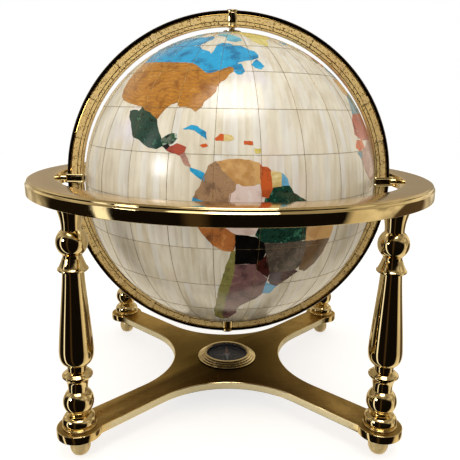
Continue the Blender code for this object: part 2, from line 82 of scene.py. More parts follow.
CORNERS = (("front_left", -1, -1), ("front_right", 1, -1), ("back_left", -1, 1), ("back_right", 1, 1))
SIDES = (("left", -1), ("right", 1))
print("globe radius", round(GLOBE_R / MM, 1), "mm, legs at", round(LEG_AT / MM, 1), "mm")

# %% [markdown]
# ## Camera
# The camera stands in front of the globe, a little above the horizon ring, and looks down
# on it.  It is aimed with three small turns: yaw, pitch and roll.  The shift moves the
# view within the frame, as a lens board does, without changing the perspective.

# %% Camera
camera_data = bpy.data.cameras.new("camera")
camera_data.lens = 42.0
camera_data.sensor_width = 36.0
camera_data.shift_x = 0.0075
camera_data.shift_y = -0.0311
camera_data.clip_start = 0.01
camera_data.clip_end = 50.0
camera = bpy.data.objects.new("camera", camera_data)
bpy.context.scene.collection.objects.link(camera)
YAW, PITCH, ROLL = (math.radians(a) for a in (1.678, 11.453, 0.868))
turn = Matrix.Rotation(-YAW, 3, "Z") @ Matrix.Rotation(math.radians(90) - PITCH, 3, "X")
camera.rotation_euler = (turn @ Matrix.Rotation(ROLL, 3, "Z")).to_euler()
camera.location = (-0.0214, -0.6287, 0.3387)  # left of the middle, in front, above the floor
bpy.context.scene.camera = camera
print("camera at", tuple(round(v, 3) for v in camera.location))

# %% [markdown]
# ## Shader arithmetic
# A finish is easier to read as a sum than as a web of nodes.  Field wraps one output
# socket, so that `1 - dirt * 0.5` adds the Math nodes by itself.  Finish is one material:
# `node` adds any other node, and `feed` joins a field to a socket of the shader.  Many of
# the plain finishes have one mottle that drives everything, and `mottled` makes those.

# %% Fields and finishes
# A Mix node has sockets for each kind of value.  These are the places of those for colours.
MIX_INPUTS = (0, 6, 7)
MIX_RESULT = 2


class Field:
    """A number or colour that changes over a surface."""

    def __init__(self, finish, socket):
        self.finish = finish
        self.socket = socket

    def math(self, operation, *values):
        inputs = dict(enumerate((self, *values)))
        return self.finish.node("ShaderNodeMath", {"operation": operation}, inputs)["Value"]

    def __add__(self, other):
        return self.math("ADD", other)

    def __mul__(self, other):
        return self.math("MULTIPLY", other)

    def __sub__(self, other):
        return self.math("SUBTRACT", other)

    def __truediv__(self, other):
        return self.math("DIVIDE", other)

    def __rsub__(self, other):
        return self.math("MULTIPLY", -1.0).math("ADD", other)

    __radd__ = __add__
    __rmul__ = __mul__

    def smooth(self, low, high):
        """0 below low, 1 above high, and an even slope between."""
        inputs = {"Value": self, "From Min": low, "From Max": high}
        made = self.finish.node("ShaderNodeMapRange", {"interpolation_type": "SMOOTHSTEP"}, inputs)
        return made["Result"]

    def ramp(self, *stops):
        """Colours at places from 0 to 1."""
        return self.finish.node("ShaderNodeValToRGB", {"stops": stops}, {"Fac": self})["Color"]


class Nodes:
    """What a material, the world and a geometry tree share: adding nodes and links."""

    def __init__(self, tree):
        self.tree = tree

    def node(self, kind, settings=None, inputs=None):
        made = self.tree.nodes.new(kind)
        for key, value in (settings or {}).items():
            if key == "stops":
                ends = made.color_ramp.elements
                for element, (place, colour) in ((ends[0], value[0]), (ends[1], value[-1])):
                    element.position = place
                    element.color = (*colour, 1.0)
                for place, colour in value[1:-1]:
                    ends.new(place).color = (*colour, 1.0)
            else:
                setattr(made, key, value)
        for key, value in (inputs or {}).items():
            self.join(made.inputs[key], value)
        found = {}
        for out in made.outputs:
            if out.enabled and out.name not in found:
                found[out.name] = Field(self, out)
        return found

    def join(self, socket, value):
        """Links a field to a socket, or sets the socket.  A colour gets its fourth number."""
        if isinstance(value, Field):
            self.tree.links.new(value.socket, socket)
        elif hasattr(socket.default_value, "__len__") and len(socket.default_value) == 4:
            socket.default_value = (*value, 1.0)
        else:
            socket.default_value = value

    def vector(self, x=0.0, y=0.0, z=0.0):
        return self.node("ShaderNodeCombineXYZ", None, {"X": x, "Y": y, "Z": z})["Vector"]

    def vector_math(self, operation, one, other):
        return self.node("ShaderNodeVectorMath", {"operation": operation}, {0: one, 1: other})["Vector"]

    def noise(self, at, scale, detail=3.0, grit=0.5):
        inputs = {"Vector": at, "Scale": scale, "Detail": detail, "Roughness": grit}
        return self.node("ShaderNodeTexNoise", None, inputs)["Fac"]

    def blend(self, amount, low, high):
        """One colour into another by an amount from 0 to 1."""
        made = self.tree.nodes.new("ShaderNodeMix")
        made.data_type = "RGBA"
        for place, value in zip(MIX_INPUTS, (amount, low, high)):
            self.join(made.inputs[place], value)
        return Field(self, made.outputs[MIX_RESULT])


class Finish(Nodes):
    """One material, with its shader's plain settings given by name."""

    def __init__(self, name, **plain):
        self.material = bpy.data.materials.new(name)
        self.material.use_nodes = True
        super().__init__(self.material.node_tree)
        self.shader = self.tree.nodes["Principled BSDF"]
        self.feed(**plain)

    def feed(self, **fields):
        """Fields or plain values for the shader's sockets, named with _ for each space."""
        for key, value in fields.items():
            self.join(self.shader.inputs[key.replace("_", " ")], value)

    def place(self, centre=(0, 0, 0), scale=(1, 1, 1)):
        """Object coordinates, counted from a centre and stretched."""
        here = self.node("ShaderNodeTexCoord")["Object"]
        return self.vector_math("MULTIPLY", self.vector_math("SUBTRACT", here, centre), scale)

    def off_axis(self, at):
        """How far a place is from the upright axis through the coordinates' centre."""
        flat = self.node("ShaderNodeSeparateXYZ", None, {0: at})
        return (flat["X"] * flat["X"] + flat["Y"] * flat["Y"]).math("SQRT")

    def cells(self, at, scale, feature="F1"):
        inputs = {"Vector": at, "Scale": scale}
        return self.node("ShaderNodeTexVoronoi", {"feature": feature}, inputs)["Distance"]

    def bump(self, height, depth):
        """Relief of that depth in metres."""
        inputs = {"Height": height, "Distance": depth, "Strength": 1.0}
        self.feed(Normal=self.node("ShaderNodeBump", None, inputs)["Normal"])


def mottled(name, scale, detail, spread, tones, rough, relief=None, grit=0.5, **plain):
    """Material in which one mottle drives colour, roughness and relief together.
    tones and rough are given as (where it is clear, where it is spotted)."""
    finish = Finish(name, **plain)
    spots = finish.noise(finish.place(), scale, detail, grit).smooth(*spread)
    finish.feed(Base_Color=finish.blend(spots, *tones))
    finish.feed(Roughness=spots * (rough[1] - rough[0]) + rough[0])
    if relief:
        finish.bump(spots, relief)
    return finish.material


print("shader arithmetic ready")

# %% [markdown]
# ## Floor, light and surroundings
# Polished brass has no look of its own: it shows the room.  A turned leg reads as brass
# because it mirrors a dark room with a bright window in it, and pale walls beside that, so
# the world is painted by direction.  Inside a wide low oval in front, and a small one at
# the right, the colour goes by the compass: nearly black, with a narrow window at the left
# and lamplight at the right.  Everywhere else there are warm walls with some clutter under
# a darker ceiling with one bright patch.  Only reflections see all this.  The camera sees
# white, and so does the soft light, a little dimmed.  The floor is left out of the
# reflections, and glows for the camera so that it stays pale.  Two soft lamps do the
# shading: a large one overhead, which makes the shine on top of the globe, and a small one
# at the left.

# %% Floor
FLOOR_SIDE = 6.0


def floor_mesh():
    half = FLOOR_SIDE / 2
    corners = [(-half, -half, 0), (half, -half, 0), (half, half, 0), (-half, half, 0)]
    mesh = bpy.data.meshes.new("floor")
    mesh.from_pydata(corners, [], [(0, 1, 2, 3)])
    return mesh


floor = bpy.data.objects.new("floor", floor_mesh())
bpy.context.scene.collection.objects.link(floor)
floor.visible_glossy = False
pale = Finish("pale_floor", Roughness=0.8, Emission_Strength=0.72)
grain = pale.noise(pale.place(), 40.0, 4.0)
pale.feed(Base_Color=pale.blend(grain, (0.46, 0.43, 0.38), (0.50, 0.47, 0.42)))
seen = pale.node("ShaderNodeLightPath")["Is Camera Ray"]
pale.feed(Emission_Color=pale.blend(seen, (0.0, 0.0, 0.0), (1.0, 1.0, 1.0)))
floor.data.materials.append(pale.material)
print("floor", FLOOR_SIDE, "m square")

# %% World
WHITE = (1.0, 1.0, 1.0)
AROUND = (
    # share of the way round, from the back by the left, the front and the right, and a colour
    (0.00, (0.62, 0.58, 0.53)), (0.06, (0.95, 0.92, 0.86)), (0.085, (0.95, 0.92, 0.86)),
    (0.10, (0.012, 0.008, 0.005)), (0.288, (0.010, 0.007, 0.004)), (0.293, (1.3, 1.26, 1.2)),
    (0.312, (1.3, 1.26, 1.2)), (0.318, (0.006, 0.004, 0.003)), (0.425, (0.006, 0.004, 0.003)),
    (0.44, (0.055, 0.034, 0.016)), (0.455, (0.055, 0.034, 0.016)), (0.47, (0.005, 0.004, 0.003)),
    (0.665, (0.006, 0.004, 0.003)), (0.68, (0.62, 0.52, 0.36)), (0.74, (0.80, 0.70, 0.54)),
    (0.765, (0.07, 0.045, 0.025)), (0.84, (0.09, 0.06, 0.035)), (0.86, (0.60, 0.50, 0.38)),
    (0.93, (0.95, 0.92, 0.86)), (1.00, (0.62, 0.58, 0.53)),
)
DAYLIGHT = 0.70  # how much of the white world lights what isn't polished
OVAL_EDGE = (0.78, 1.12)
world = bpy.data.worlds.new("studio")
world.use_nodes = True
bpy.context.scene.world = world
studio = Nodes(world.node_tree)
sight = studio.node("ShaderNodeTexCoord")["Generated"]
ways = studio.node("ShaderNodeSeparateXYZ", None, {0: sight})
turned_by = ways["X"].math("ARCTAN2", ways["Y"] * -1.0) / (2 * math.pi) + 0.5
band = turned_by.ramp(*AROUND)
azimuth = turned_by * 360.0 - 180.0
elevation = ways["Z"].math("ARCSINE") * (180 / math.pi)


def oval(at, wide, tall):
    """1 inside an oval of directions, given by its middle and half its size in degrees."""
    east = (azimuth - at[0]) / wide
    north = (elevation - at[1]) / tall
    return 1 - (east * east + north * north).smooth(*OVAL_EDGE)


dark_room = oval((-22, -33), 104, 74).math("MAXIMUM", oval((112, -20), 19, 17))
clutter = studio.noise(sight, 3.4).smooth(0.40, 0.60) * elevation.smooth(-50, 0)
walls = studio.blend(elevation.smooth(12, 50), (0.88, 0.78, 0.60), (0.34, 0.29, 0.21))
walls = studio.blend(clutter * 0.75, walls, (0.16, 0.125, 0.075))
walls = studio.blend(oval((-12, 64), 46, 12), walls, (1.8, 1.7, 1.5))
rays = studio.node("ShaderNodeLightPath")
shown = studio.blend(dark_room, walls, band)
shown = studio.blend(rays["Is Glossy Ray"], WHITE, shown)
lit = studio.tree.nodes["Background"]
studio.join(lit.inputs["Color"], shown)
studio.join(lit.inputs["Strength"], 1.0 - rays["Is Diffuse Ray"] * (1.0 - DAYLIGHT))
bpy.context.scene.view_settings.view_transform = "Standard"
print("world band of", len(AROUND), "stops")


# %% Lamps
def soft_lamp(name, way, distance, side, power, colour):
    """Square lamp that stands off in one direction and faces the globe."""
    data = bpy.data.lights.new(name, "AREA")
    data.size = side
    data.energy = power
    data.color = colour
    lamp = bpy.data.objects.new(name, data)
    bpy.context.scene.collection.objects.link(lamp)
    away = Vector(way).normalized()
    lamp.location = PIVOT + away * distance
    lamp.rotation_euler = away.to_track_quat("Z", "Y").to_euler()


soft_lamp("overhead", (0.06, -0.42, 0.90), 1.6, 0.8, 10, (1.0, 0.98, 0.94))
soft_lamp("left_window", (-0.80, -0.62, 0.22), 1.8, 0.35, 5, (1.0, 0.99, 0.97))
print("lamps", len(bpy.data.lights))

# %% [markdown]
# ## Bright brass
# Nearly all the metal is the same yellow brass.  What differs is how it was worked: the
# legs are buffed to a mirror, the top of the horizon ring is left a little silky, and the
# base plate is brushed along and across on top while its sides keep the grain of the
# casting.  Fine smudges change the roughness, which shows only where the metal catches
# light.  The plate is painted dark in the middle, as painted shade and reflection of the
# globe above it, and lighter out along the arms, where its brush streaks are lighter too,
# partly grain and partly painted highlight; so its colour follows the distance from the
# middle of the stand.

# %% Polished, satin and brushed brass
def polished_brass():
    brass = Finish("polished_brass", Metallic=1.0)
    at = brass.place()
    smudge = brass.noise(at, 38.0, 5.0, 0.6).smooth(0.35, 0.75)
    spots = brass.noise(at, 420.0, 2.0).smooth(0.62, 0.74)
    tone = (0.89, 0.71, 0.37)
    aged = tuple(v * 0.80 for v in tone)
    brass.feed(Base_Color=brass.blend(smudge * 0.6 + spots * 0.3, tone, aged))
    brass.feed(Roughness=smudge * 0.06 + spots * 0.06 + 0.03)
    brass.bump(brass.noise(at, 130.0), 0.02 * MM)
    return brass.material


def satin_brass():
    brass = Finish("satin_brass", Metallic=1.0)
    at = brass.place()
    inputs = {"W": brass.off_axis(at), "Scale": 2600.0, "Detail": 4.0}
    lines = brass.node("ShaderNodeTexNoise", {"noise_dimensions": "1D"}, inputs)["Fac"]
    cloud = brass.noise(at, 9.0, 4.0).smooth(0.3, 0.7)
    brass.feed(Base_Color=brass.blend(cloud, (0.84, 0.64, 0.36), (0.72, 0.52, 0.27)))
    brass.feed(Roughness=lines * 0.06 + cloud * 0.08 + 0.10)
    brass.bump(lines, 0.01 * MM)
    return brass.material


def brushed_brass():
    """Brushed both ways, painted dark in the middle as shade and reflection of the globe, and lighter along
    the arms.
    """
    brass = Finish("brushed_brass", Metallic=1.0, Specular_Tint=(0.86, 0.74, 0.52))
    one_way = brass.noise(brass.place(scale=(14, 900, 60)), 1.0, 4.0)
    other_way = brass.noise(brass.place(scale=(900, 14, 60)), 1.0, 4.0)
    at = brass.place()
    # Painted shade and reflection of the globe above: 0 under the middle, where the plate is painted dark,
    # and 1 out on the arms.
    out_of_painted_shade = brass.off_axis(at).smooth(0.03, 0.17)
    worn = brass.noise(at, 16.0, 6.0, 0.65).smooth(0.40, 0.66)
    brush = one_way * 0.6 + other_way * 0.4
    tone = brass.blend(out_of_painted_shade, (0.055, 0.033, 0.012), (0.40, 0.265, 0.10))
    tone = brass.blend(worn * 0.6, tone, (0.10, 0.058, 0.02))
    # Lighter brush streaks, partly grain and partly painted highlight, only outside the painted shade of the
    # middle.
    bright = brush.smooth(0.3, 0.7) * 0.35 * out_of_painted_shade
    brass.feed(Base_Color=brass.blend(bright, tone, (0.60, 0.43, 0.17)))
    brass.feed(Roughness=brush * 0.16 + worn * 0.10 + 0.20)
    brass.bump(brush, 0.02 * MM)
    return brass.material


def rough_cast_brass():
    """The hollowed sides keep the sand grain of the casting; the round ends are buffed."""
    brass = Finish("rough_cast_brass")
    at = brass.place()
    buffed = brass.off_axis(at).smooth(0.180, 0.200)
    pits = brass.cells(at, 900.0).smooth(0.05, 0.5)
    waves = brass.noise(at, 210.0, 4.0)
    rough = brass.blend(pits, (0.86, 0.62, 0.27), (1.0, 0.85, 0.50))
    brass.feed(Base_Color=brass.blend(buffed, rough, (0.80, 0.60, 0.27)))
    brass.feed(Metallic=buffed * 0.85 + 0.15)
    brass.feed(Roughness=(waves * 0.16 + 0.30) * (1 - buffed * 0.72))
    brass.bump((pits * 0.5 + waves) * (1 - buffed * 0.9), 0.10 * MM)
    return brass.material


POLISHED = polished_brass()
SATIN = satin_brass()
BRUSHED = brushed_brass()
ROUGH_CAST = rough_cast_brass()
print("brass finishes", [m.name for m in (POLISHED, SATIN, BRUSHED, ROUGH_CAST)])

# %% [markdown]
# ## Darkened brass and steel
# The face of the meridian ring is cast with a grain of small pits, then blackened and
# rubbed back, so the high spots are bright and the hollows stay dark.  Cells and a fine
# noise give the grain, and drive colour, roughness and relief together, so they agree.
# The ticks and the outlines of the numerals stay dark.  The ring's turned rim and the
# risers of the compass cup are shiny brass painted nearly black, a painted dark reflection
# of the room.  The raised numerals are rubbed bright, and the ball feet take the same pale
# brass as a painted reflection of the pale floor.  The axle, the tie rods and the compass
# post are steel.

# %% Antique brass, dark brass and steel
def antique_brass():
    brass = Finish("antique_brass", Metallic=0.25)
    at = brass.place()
    grain = brass.cells(at, 560.0).smooth(0.10, 0.62)
    streak = brass.noise(at, 300.0, 3.0, 0.6)
    rubbed = (streak * 1.3 + grain * 0.5 - 0.45).smooth(0.31, 0.52)
    cloud = brass.noise(at, 22.0, 3.0).smooth(0.35, 0.65)
    dark = brass.blend(cloud, (0.13, 0.06, 0.012), (0.38, 0.19, 0.045))
    brass.feed(Base_Color=brass.blend(rubbed, dark, (1.0, 0.72, 0.29)))
    brass.feed(Roughness=0.46 - rubbed * 0.20)
    brass.bump(grain + streak, 0.12 * MM)
    return brass.material


def turned_steel():
    steel = Finish("turned_steel", Metallic=1.0)
    at = steel.place()
    rings = steel.noise(steel.place(scale=(60, 60, 3000)), 1.0, 3.0)
    stain = steel.noise(at, 120.0, 4.0).smooth(0.4, 0.7)
    steel.feed(Base_Color=steel.blend(stain, (0.60, 0.59, 0.57), (0.42, 0.40, 0.38)))
    steel.feed(Roughness=rings * 0.12 + stain * 0.08 + 0.20)
    steel.bump(rings, 0.01 * MM)
    return steel.material


ANTIQUE = antique_brass()
DARK = mottled(
    "dark_brass", scale=260.0, detail=3.0, grit=0.6, spread=(0.50, 0.72),
    tones=((0.085, 0.045, 0.016), (0.42, 0.27, 0.10)), rough=(0.16, 0.30), relief=0.02 * MM, Metallic=1.0,
)
# Shiny brass painted nearly black, as a painted dark reflection: the meridian's polished rim and the risers
# of the compass cup.
PAINTED_DARK_BRASS = mottled(
    "blackened_brass", scale=120.0, detail=4.0, grit=0.65, spread=(0.56, 0.74),
    tones=((0.040, 0.024, 0.010), (0.20, 0.12, 0.04)), rough=(0.12, 0.24), relief=0.01 * MM, Metallic=1.0,
)
# Pale brass: the raised numerals are rubbed bright, and on the ball feet this pale colour is a painted
# reflection of the floor.
RUBBED_AND_PAINTED_BRIGHT = mottled(
    "rubbed_brass", scale=500.0, detail=3.0, spread=(0.45, 0.70),
    tones=((1.0, 0.78, 0.38), (0.80, 0.52, 0.20)), rough=(0.25, 0.40), relief=0.02 * MM, Metallic=0.25,
)
STEEL = turned_steel()
print("darker metals", [m.name for m in (ANTIQUE, DARK, PAINTED_DARK_BRASS, RUBBED_AND_PAINTED_BRIGHT, STEEL)])

# %% [markdown]
# ## Turning on a lathe
# Most of this globe is turned, so one helper does the lathe's work: it takes the section
# as (radius, height) points and spins it round the Z axis.  A section is written as runs:
# each run is one smooth curve, and a sharp edge is left where two runs meet.  A closed
# section, like a ring's, joins its last point to its first.

# %% Sections
SAME_POINT = 0.01 * MM
MOST_EASED = 0.45  # share of an edge that the rounding of one corner may take


def curved(run, steps=6):
    """Passes a smooth curve through the points of one run."""
    if len(run) < 3:
        return [Vector(p) for p in run]
    points = [Vector(p) for p in run]
    padded = [2 * points[0] - points[1], *points, 2 * points[-1] - points[-2]]
    made = []
    for a, b, c, d in zip(padded, padded[1:], padded[2:], padded[3:]):
        for i in range(steps):
            t = i / steps
            bend = 2 * b + (c - a) * t + (2 * a - 5 * b + 4 * c - d) * t**2
            made.append((bend + (3 * b - a - 3 * c + d) * t**3) / 2)
    return [*made, points[-1]]


def section(runs, across, bottom, tall, steps=6):
    """Runs given in shares of a radius and a height become (radius, height) points."""
    points = []
    for run in runs:
        for p in curved(run, steps):
            point = Vector((p.x * across, bottom + p.y * tall))
            if not points or (point - points[-1]).length > SAME_POINT:
                points.append(point)
    return points


def eased(points, radius, steps=3):
    """Rounds every corner of a closed section a little, so that its edges catch light."""
    made = []
    corners = [Vector(p) for p in points]
    for last, corner, following in zip(corners[-1:] + corners[:-1], corners, corners[1:] + corners[:1]):
        before = last - corner
        after = following - corner
        reach = min(radius, before.length * MOST_EASED, after.length * MOST_EASED)
        start = corner + before.normalized() * reach
        end = corner + after.normalized() * reach
        for step in range(steps + 1):
            t = step / steps
            made.append(start * (1 - t) ** 2 + corner * 2 * t * (1 - t) + end * t**2)
    return made


print("section helpers ready")


# %% The lathe
SHARP_DEG = 35.0
ON_AXIS = 0.001 * MM


def mesh_object(name, shape, material, sharp=SHARP_DEG):
    """Turns a bmesh into a piece, its faces outward and smooth up to a sharp angle."""
    bmesh.ops.recalc_face_normals(shape, faces=shape.faces)
    mesh = bpy.data.meshes.new(name)
    shape.to_mesh(mesh)
    shape.free()
    mesh.shade_smooth()
    mesh.set_sharp_from_angle(angle=math.radians(sharp))
    materials = material if isinstance(material, (list, tuple)) else [material]
    for one in materials:
        mesh.materials.append(one)
    made = bpy.data.objects.new(name, mesh)
    bpy.context.scene.collection.objects.link(made)
    return made


def lathe(points, sides, at=(0, 0, 0), closed=True, tip=None):
    """Spins a section round Z.  Points on the axis close to one vertex.  tip turns it over."""
    shape = bmesh.new()
    rings = []
    angles = [2 * math.pi * i / sides for i in range(sides)]
    for radius, high in points:
        if radius < ON_AXIS:
            rings.append([shape.verts.new((0, 0, high))] * sides)
        else:
            around = [(radius * math.cos(a), radius * math.sin(a), high) for a in angles]
            rings.append([shape.verts.new(place) for place in around])
    pairs = list(zip(rings, rings[1:]))
    if closed:
        pairs.append((rings[-1], rings[0]))
    for low, high in pairs:
        for i in range(sides):
            j = (i + 1) % sides
            loop = []
            for vert in (low[i], low[j], high[j], high[i]):
                if vert not in loop:
                    loop.append(vert)
            if len(loop) > 2:
                shape.faces.new(loop)
    if tip:
        bmesh.ops.transform(shape, matrix=tip, verts=shape.verts)
    bmesh.ops.translate(shape, vec=at, verts=shape.verts)
    return shape


def ridden(piece, body, stands_for=()):
    """Every piece rides on its body, and may stand for CAD nodes, which it hides."""
    if stands_for:
        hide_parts(*stands_for)
    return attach(piece, body)


print("lathe ready")

# %% [markdown]
# ## The four legs
# Each leg is a stack of turned pieces threaded on a tie rod: a dome on the plate, a ball
# with a coned bead, a long vase and a capital that flares out under the horizon ring.
# Radii are shares of the leg's widest radius and heights are shares of the piece, so each
# profile stays true if the leg grows.  All the legs share one bore for the rod.

# %% Leg profiles
BORE_R = 3.3 * MM


def ball(middle, radius, neck, tall, steps=16):
    """Run of a true ball between two necks, in the same shares as the other runs.
    tall is the height of the whole piece."""
    lean = math.acos(neck / radius)
    angles = [lean - 2 * lean * i / steps for i in range(steps + 1)]
    rise = radius * LEG_R / tall
    return tuple((radius * math.cos(a), middle + rise * math.sin(a)) for a in angles)


def height_of(name):
    low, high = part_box(f"leg_{name}_front_left")
    return high.z - low.z


DOME_RUNS = (
    ((0.56, 1.0), (0.74, 0.955), (0.88, 0.83), (0.965, 0.63), (0.985, 0.44), (0.96, 0.26),
     (0.92, 0.19)),
    ((0.92, 0.19), (0.91, 0.13)),
    ((0.97, 0.13), (1.0, 0.10), (1.0, 0.03), (0.98, 0.0)),
)
KNOP_RUNS = (
    ((0.55, 1.0), (0.55, 0.93)),
    ((0.60, 0.92), (0.74, 0.885), (0.84, 0.85)),
    ((0.87, 0.845), (0.885, 0.825), (0.87, 0.805)),
    ((0.83, 0.80), (0.74, 0.765), (0.645, 0.70), (0.59, 0.62), (0.57, 0.555)),
    ball(0.265, 0.895, 0.56, height_of("knop")),
    ((0.54, 0.025), (0.54, 0.0)),
)
VASE_RUNS = (
    ((0.60, 1.0), (0.655, 0.86), (0.745, 0.68), (0.84, 0.50), (0.92, 0.34), (0.97, 0.22),
     (0.985, 0.17), (0.975, 0.125), (0.93, 0.085), (0.83, 0.05), (0.70, 0.03), (0.60, 0.022)),
    ((0.57, 0.02), (0.57, 0.0)),
)
CAPITAL_RUNS = (
    ((0.76, 1.0), (0.735, 0.97), (0.66, 0.90), (0.60, 0.83), (0.56, 0.755), (0.545, 0.68)),
    ball(0.465, 0.89, 0.55, height_of("capital")),
    ((0.54, 0.26), (0.54, 0.205)),
    ((0.575, 0.205), (0.65, 0.145), (0.76, 0.075), (0.83, 0.045)),
    ((0.85, 0.04), (0.865, 0.028), (0.85, 0.012)),
    ((0.80, 0.010), (0.80, 0.0)),
)
LEG_RUNS = {"dome": DOME_RUNS, "knop": KNOP_RUNS, "vase": VASE_RUNS, "capital": CAPITAL_RUNS}
print("leg pieces", list(LEG_RUNS))

# %% Turn the legs
LEG_SIDES = 56
for name, runs in LEG_RUNS.items():
    low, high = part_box(f"leg_{name}_front_left")
    outside = section(runs, LEG_R, low.z, high.z - low.z)
    bored = [*outside, Vector((BORE_R, low.z)), Vector((BORE_R, high.z))]
    for corner, sx, sy in CORNERS:
        shape = lathe(bored, LEG_SIDES, (sx * LEG_AT, sy * LEG_AT, 0))
        piece = mesh_object(f"turned_{name}_{corner}", shape, POLISHED)
        ridden(piece, "stand", (f"leg_{name}_{corner}",))
print("leg faces", len(piece.data.polygons))

# %% [markdown]
# Four ball feet lift the plate.  Each is a ball with a short neck, a small flat to stand
# on and a blind hole for the end of its tie rod.

# %% Ball feet
FOOT_R = 10 * MM
FOOT_SIDES = 40
FOOT_RUNS = (
    ((0.64, 1.0), (0.64, 0.86)),
    ((0.66, 0.85), (0.86, 0.73), (0.98, 0.58), (1.0, 0.45), (0.95, 0.28), (0.80, 0.12),
     (0.62, 0.035), (0.45, 0.0)),
)
foot_low, foot_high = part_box("foot_front_left")
foot_tall = foot_high.z - foot_low.z
hole = [Vector((0, foot_tall / 2)), Vector((BORE_R, foot_tall / 2)), Vector((BORE_R, foot_tall))]
foot_section = hole + section(FOOT_RUNS, FOOT_R, 0.0, foot_tall) + [Vector((0, 0))]
for corner, sx, sy in CORNERS:
    shape = lathe(foot_section, FOOT_SIDES, (sx * LEG_AT, sy * LEG_AT, 0), closed=False)
    # The feet take the pale brass as a painted reflection of the pale floor.
    foot = mesh_object(f"ball_foot_{corner}", shape, RUBBED_AND_PAINTED_BRIGHT)
    ridden(foot, "stand", (f"foot_{corner}",))
print("foot faces", len(foot.data.polygons))

# %% [markdown]
# ## The base plate
# The plate is a cast cross: four straight arms end in round pads under the legs, and
# between the arms the sides are hollowed in a wide arc.  One quarter of the outline is
# worked out from the arc, the arm and the pad, and turned three more times.  The face is
# then raised to the plate's thickness, bored for the rods and given a bright chamfer.

# %% Outline of the plate
WAIST = 66 * MM
ARM_HALF = 17 * MM
PAD_R = 22 * MM
ARC_STEPS = 40


def plate_outline():
    """Corner points of the cross, anticlockwise from above."""
    reach = ARM_HALF * math.sqrt(2)
    swing = (WAIST * math.sqrt(2) - reach) / (math.sqrt(2) - 1) - WAIST
    middle = WAIST + swing
    join = math.asin(ARM_HALF / PAD_R)
    side = []
    for i in range(ARC_STEPS + 1):
        angle = math.radians(45 - 90 * i / ARC_STEPS)
        side.append(Vector((-swing * math.sin(angle), swing * math.cos(angle) - middle)))
    pad = Vector((LEG_AT, -LEG_AT))
    for i in range(ARC_STEPS + 1):
        angle = math.radians(-45) + (math.pi - join) * (2 * i / ARC_STEPS - 1)
        side.append(pad + PAD_R * Vector((math.cos(angle), math.sin(angle))))
    points = []
    for quarter in range(4):
        points += [Matrix.Rotation(quarter * math.pi / 2, 2) @ p for p in side]
    return points


outline = plate_outline()
print("outline points", len(outline))


# %% Cast the plate
DRILL_SIDES = 24
CHAMFER = 0.8 * MM
CHAMFER_FROM_DEG = 60
PLATE_SHARP_DEG = 25
TOP_AND_BOTTOM, ROUGH_SIDES, BRIGHT_EDGE = range(3)


def applied(piece):
    """Makes a piece's modifiers part of its mesh."""
    graph = bpy.context.evaluated_depsgraph_get()
    mesh = bpy.data.meshes.new_from_object(piece.evaluated_get(graph))
    piece.modifiers.clear()
    piece.data = mesh


def drilled(piece, radius, reach, at=(0, 0, 0), tip=None):
    """Bores a round hole right through a piece, along Z or along the axis that tip gives."""
    rod_section = [(0, -reach), (radius, -reach), (radius, reach), (0, reach)]
    shape = lathe(rod_section, DRILL_SIDES, at, closed=False, tip=tip)
    drill = mesh_object("drill", shape, piece.data.materials[0])
    cut = piece.modifiers.new("bore", "BOOLEAN")
    cut.object = drill
    cut.operation = "DIFFERENCE"
    cut.solver = "EXACT"
    applied(piece)
    bpy.data.objects.remove(drill)
    piece.data.set_sharp_from_angle(angle=math.radians(SHARP_DEG))


def cast_plate():
    """The outline raised to a plate: brushed faces, rough sides and a bright chamfer."""
    shape = bmesh.new()
    face = shape.faces.new([shape.verts.new((x, y, PLATE_BOTTOM)) for x, y in outline])
    raised = bmesh.ops.extrude_face_region(shape, geom=[face])["geom"]
    tops = [g for g in raised if isinstance(g, bmesh.types.BMVert)]
    bmesh.ops.translate(shape, vec=(0, 0, PLATE_TOP - PLATE_BOTTOM), verts=tops)
    plate = mesh_object("cast_base_plate", shape, (BRUSHED, ROUGH_CAST, POLISHED))
    for polygon in plate.data.polygons:
        polygon.material_index = ROUGH_SIDES if abs(polygon.normal.z) < 0.5 else TOP_AND_BOTTOM
    for _, sx, sy in CORNERS:
        drilled(plate, BORE_R, 2 * PLATE_TOP, (sx * LEG_AT, sy * LEG_AT, 0))
    edge = plate.modifiers.new("chamfer", "BEVEL")
    edge.width = CHAMFER
    edge.segments = 3
    edge.limit_method = "ANGLE"
    edge.angle_limit = math.radians(CHAMFER_FROM_DEG)
    edge.material = BRIGHT_EDGE
    applied(plate)
    plate.data.shade_smooth()
    plate.data.set_sharp_from_angle(angle=math.radians(PLATE_SHARP_DEG))
    return plate


plate = cast_plate()
ridden(plate, "stand", ("base_plate",))
print("plate faces", len(plate.data.polygons))

# %% [markdown]
# ## The horizon ring
# The horizon ring is a spun hoop, hollow underneath: a flat silky top, a fine groove, a
# bead and a tall plain skirt.  The section follows the model's, with each corner eased, and
# bosses inside it take the tie rods.  The skirt and bead are buffed to a mirror while the
# top keeps a silky finish, so the one piece has two materials.

# %% Section of the horizon ring
RING_WALL = 2.5 * MM
bead = RING_LINE + 1.8 * MM
skirt = RING_OUT
top = RING_TOP
ring_section = [
    (RING_IN, top), (RING_LINE - 0.3 * MM, top), (RING_LINE + 0.1 * MM, top - 0.7 * MM),
    (RING_LINE + 0.6 * MM, top - 0.7 * MM), (bead - 0.4 * MM, top - 0.9 * MM), (bead, top - 1.4 * MM),
    (bead, top - 2.6 * MM), (skirt - 0.5 * MM, top - 3.9 * MM), (skirt, top - 4.5 * MM),
    (skirt, RING_BOTTOM), (skirt - RING_WALL, RING_BOTTOM), (skirt - RING_WALL, top - 5.2 * MM),
    (RING_LINE - 1.0 * MM, top - RING_WALL), (RING_IN + RING_WALL, top - RING_WALL),
    (RING_IN + RING_WALL, RING_BOTTOM), (RING_IN, RING_BOTTOM),
]
ring_section = eased(ring_section, 0.5 * MM)
print("ring section points", len(ring_section))

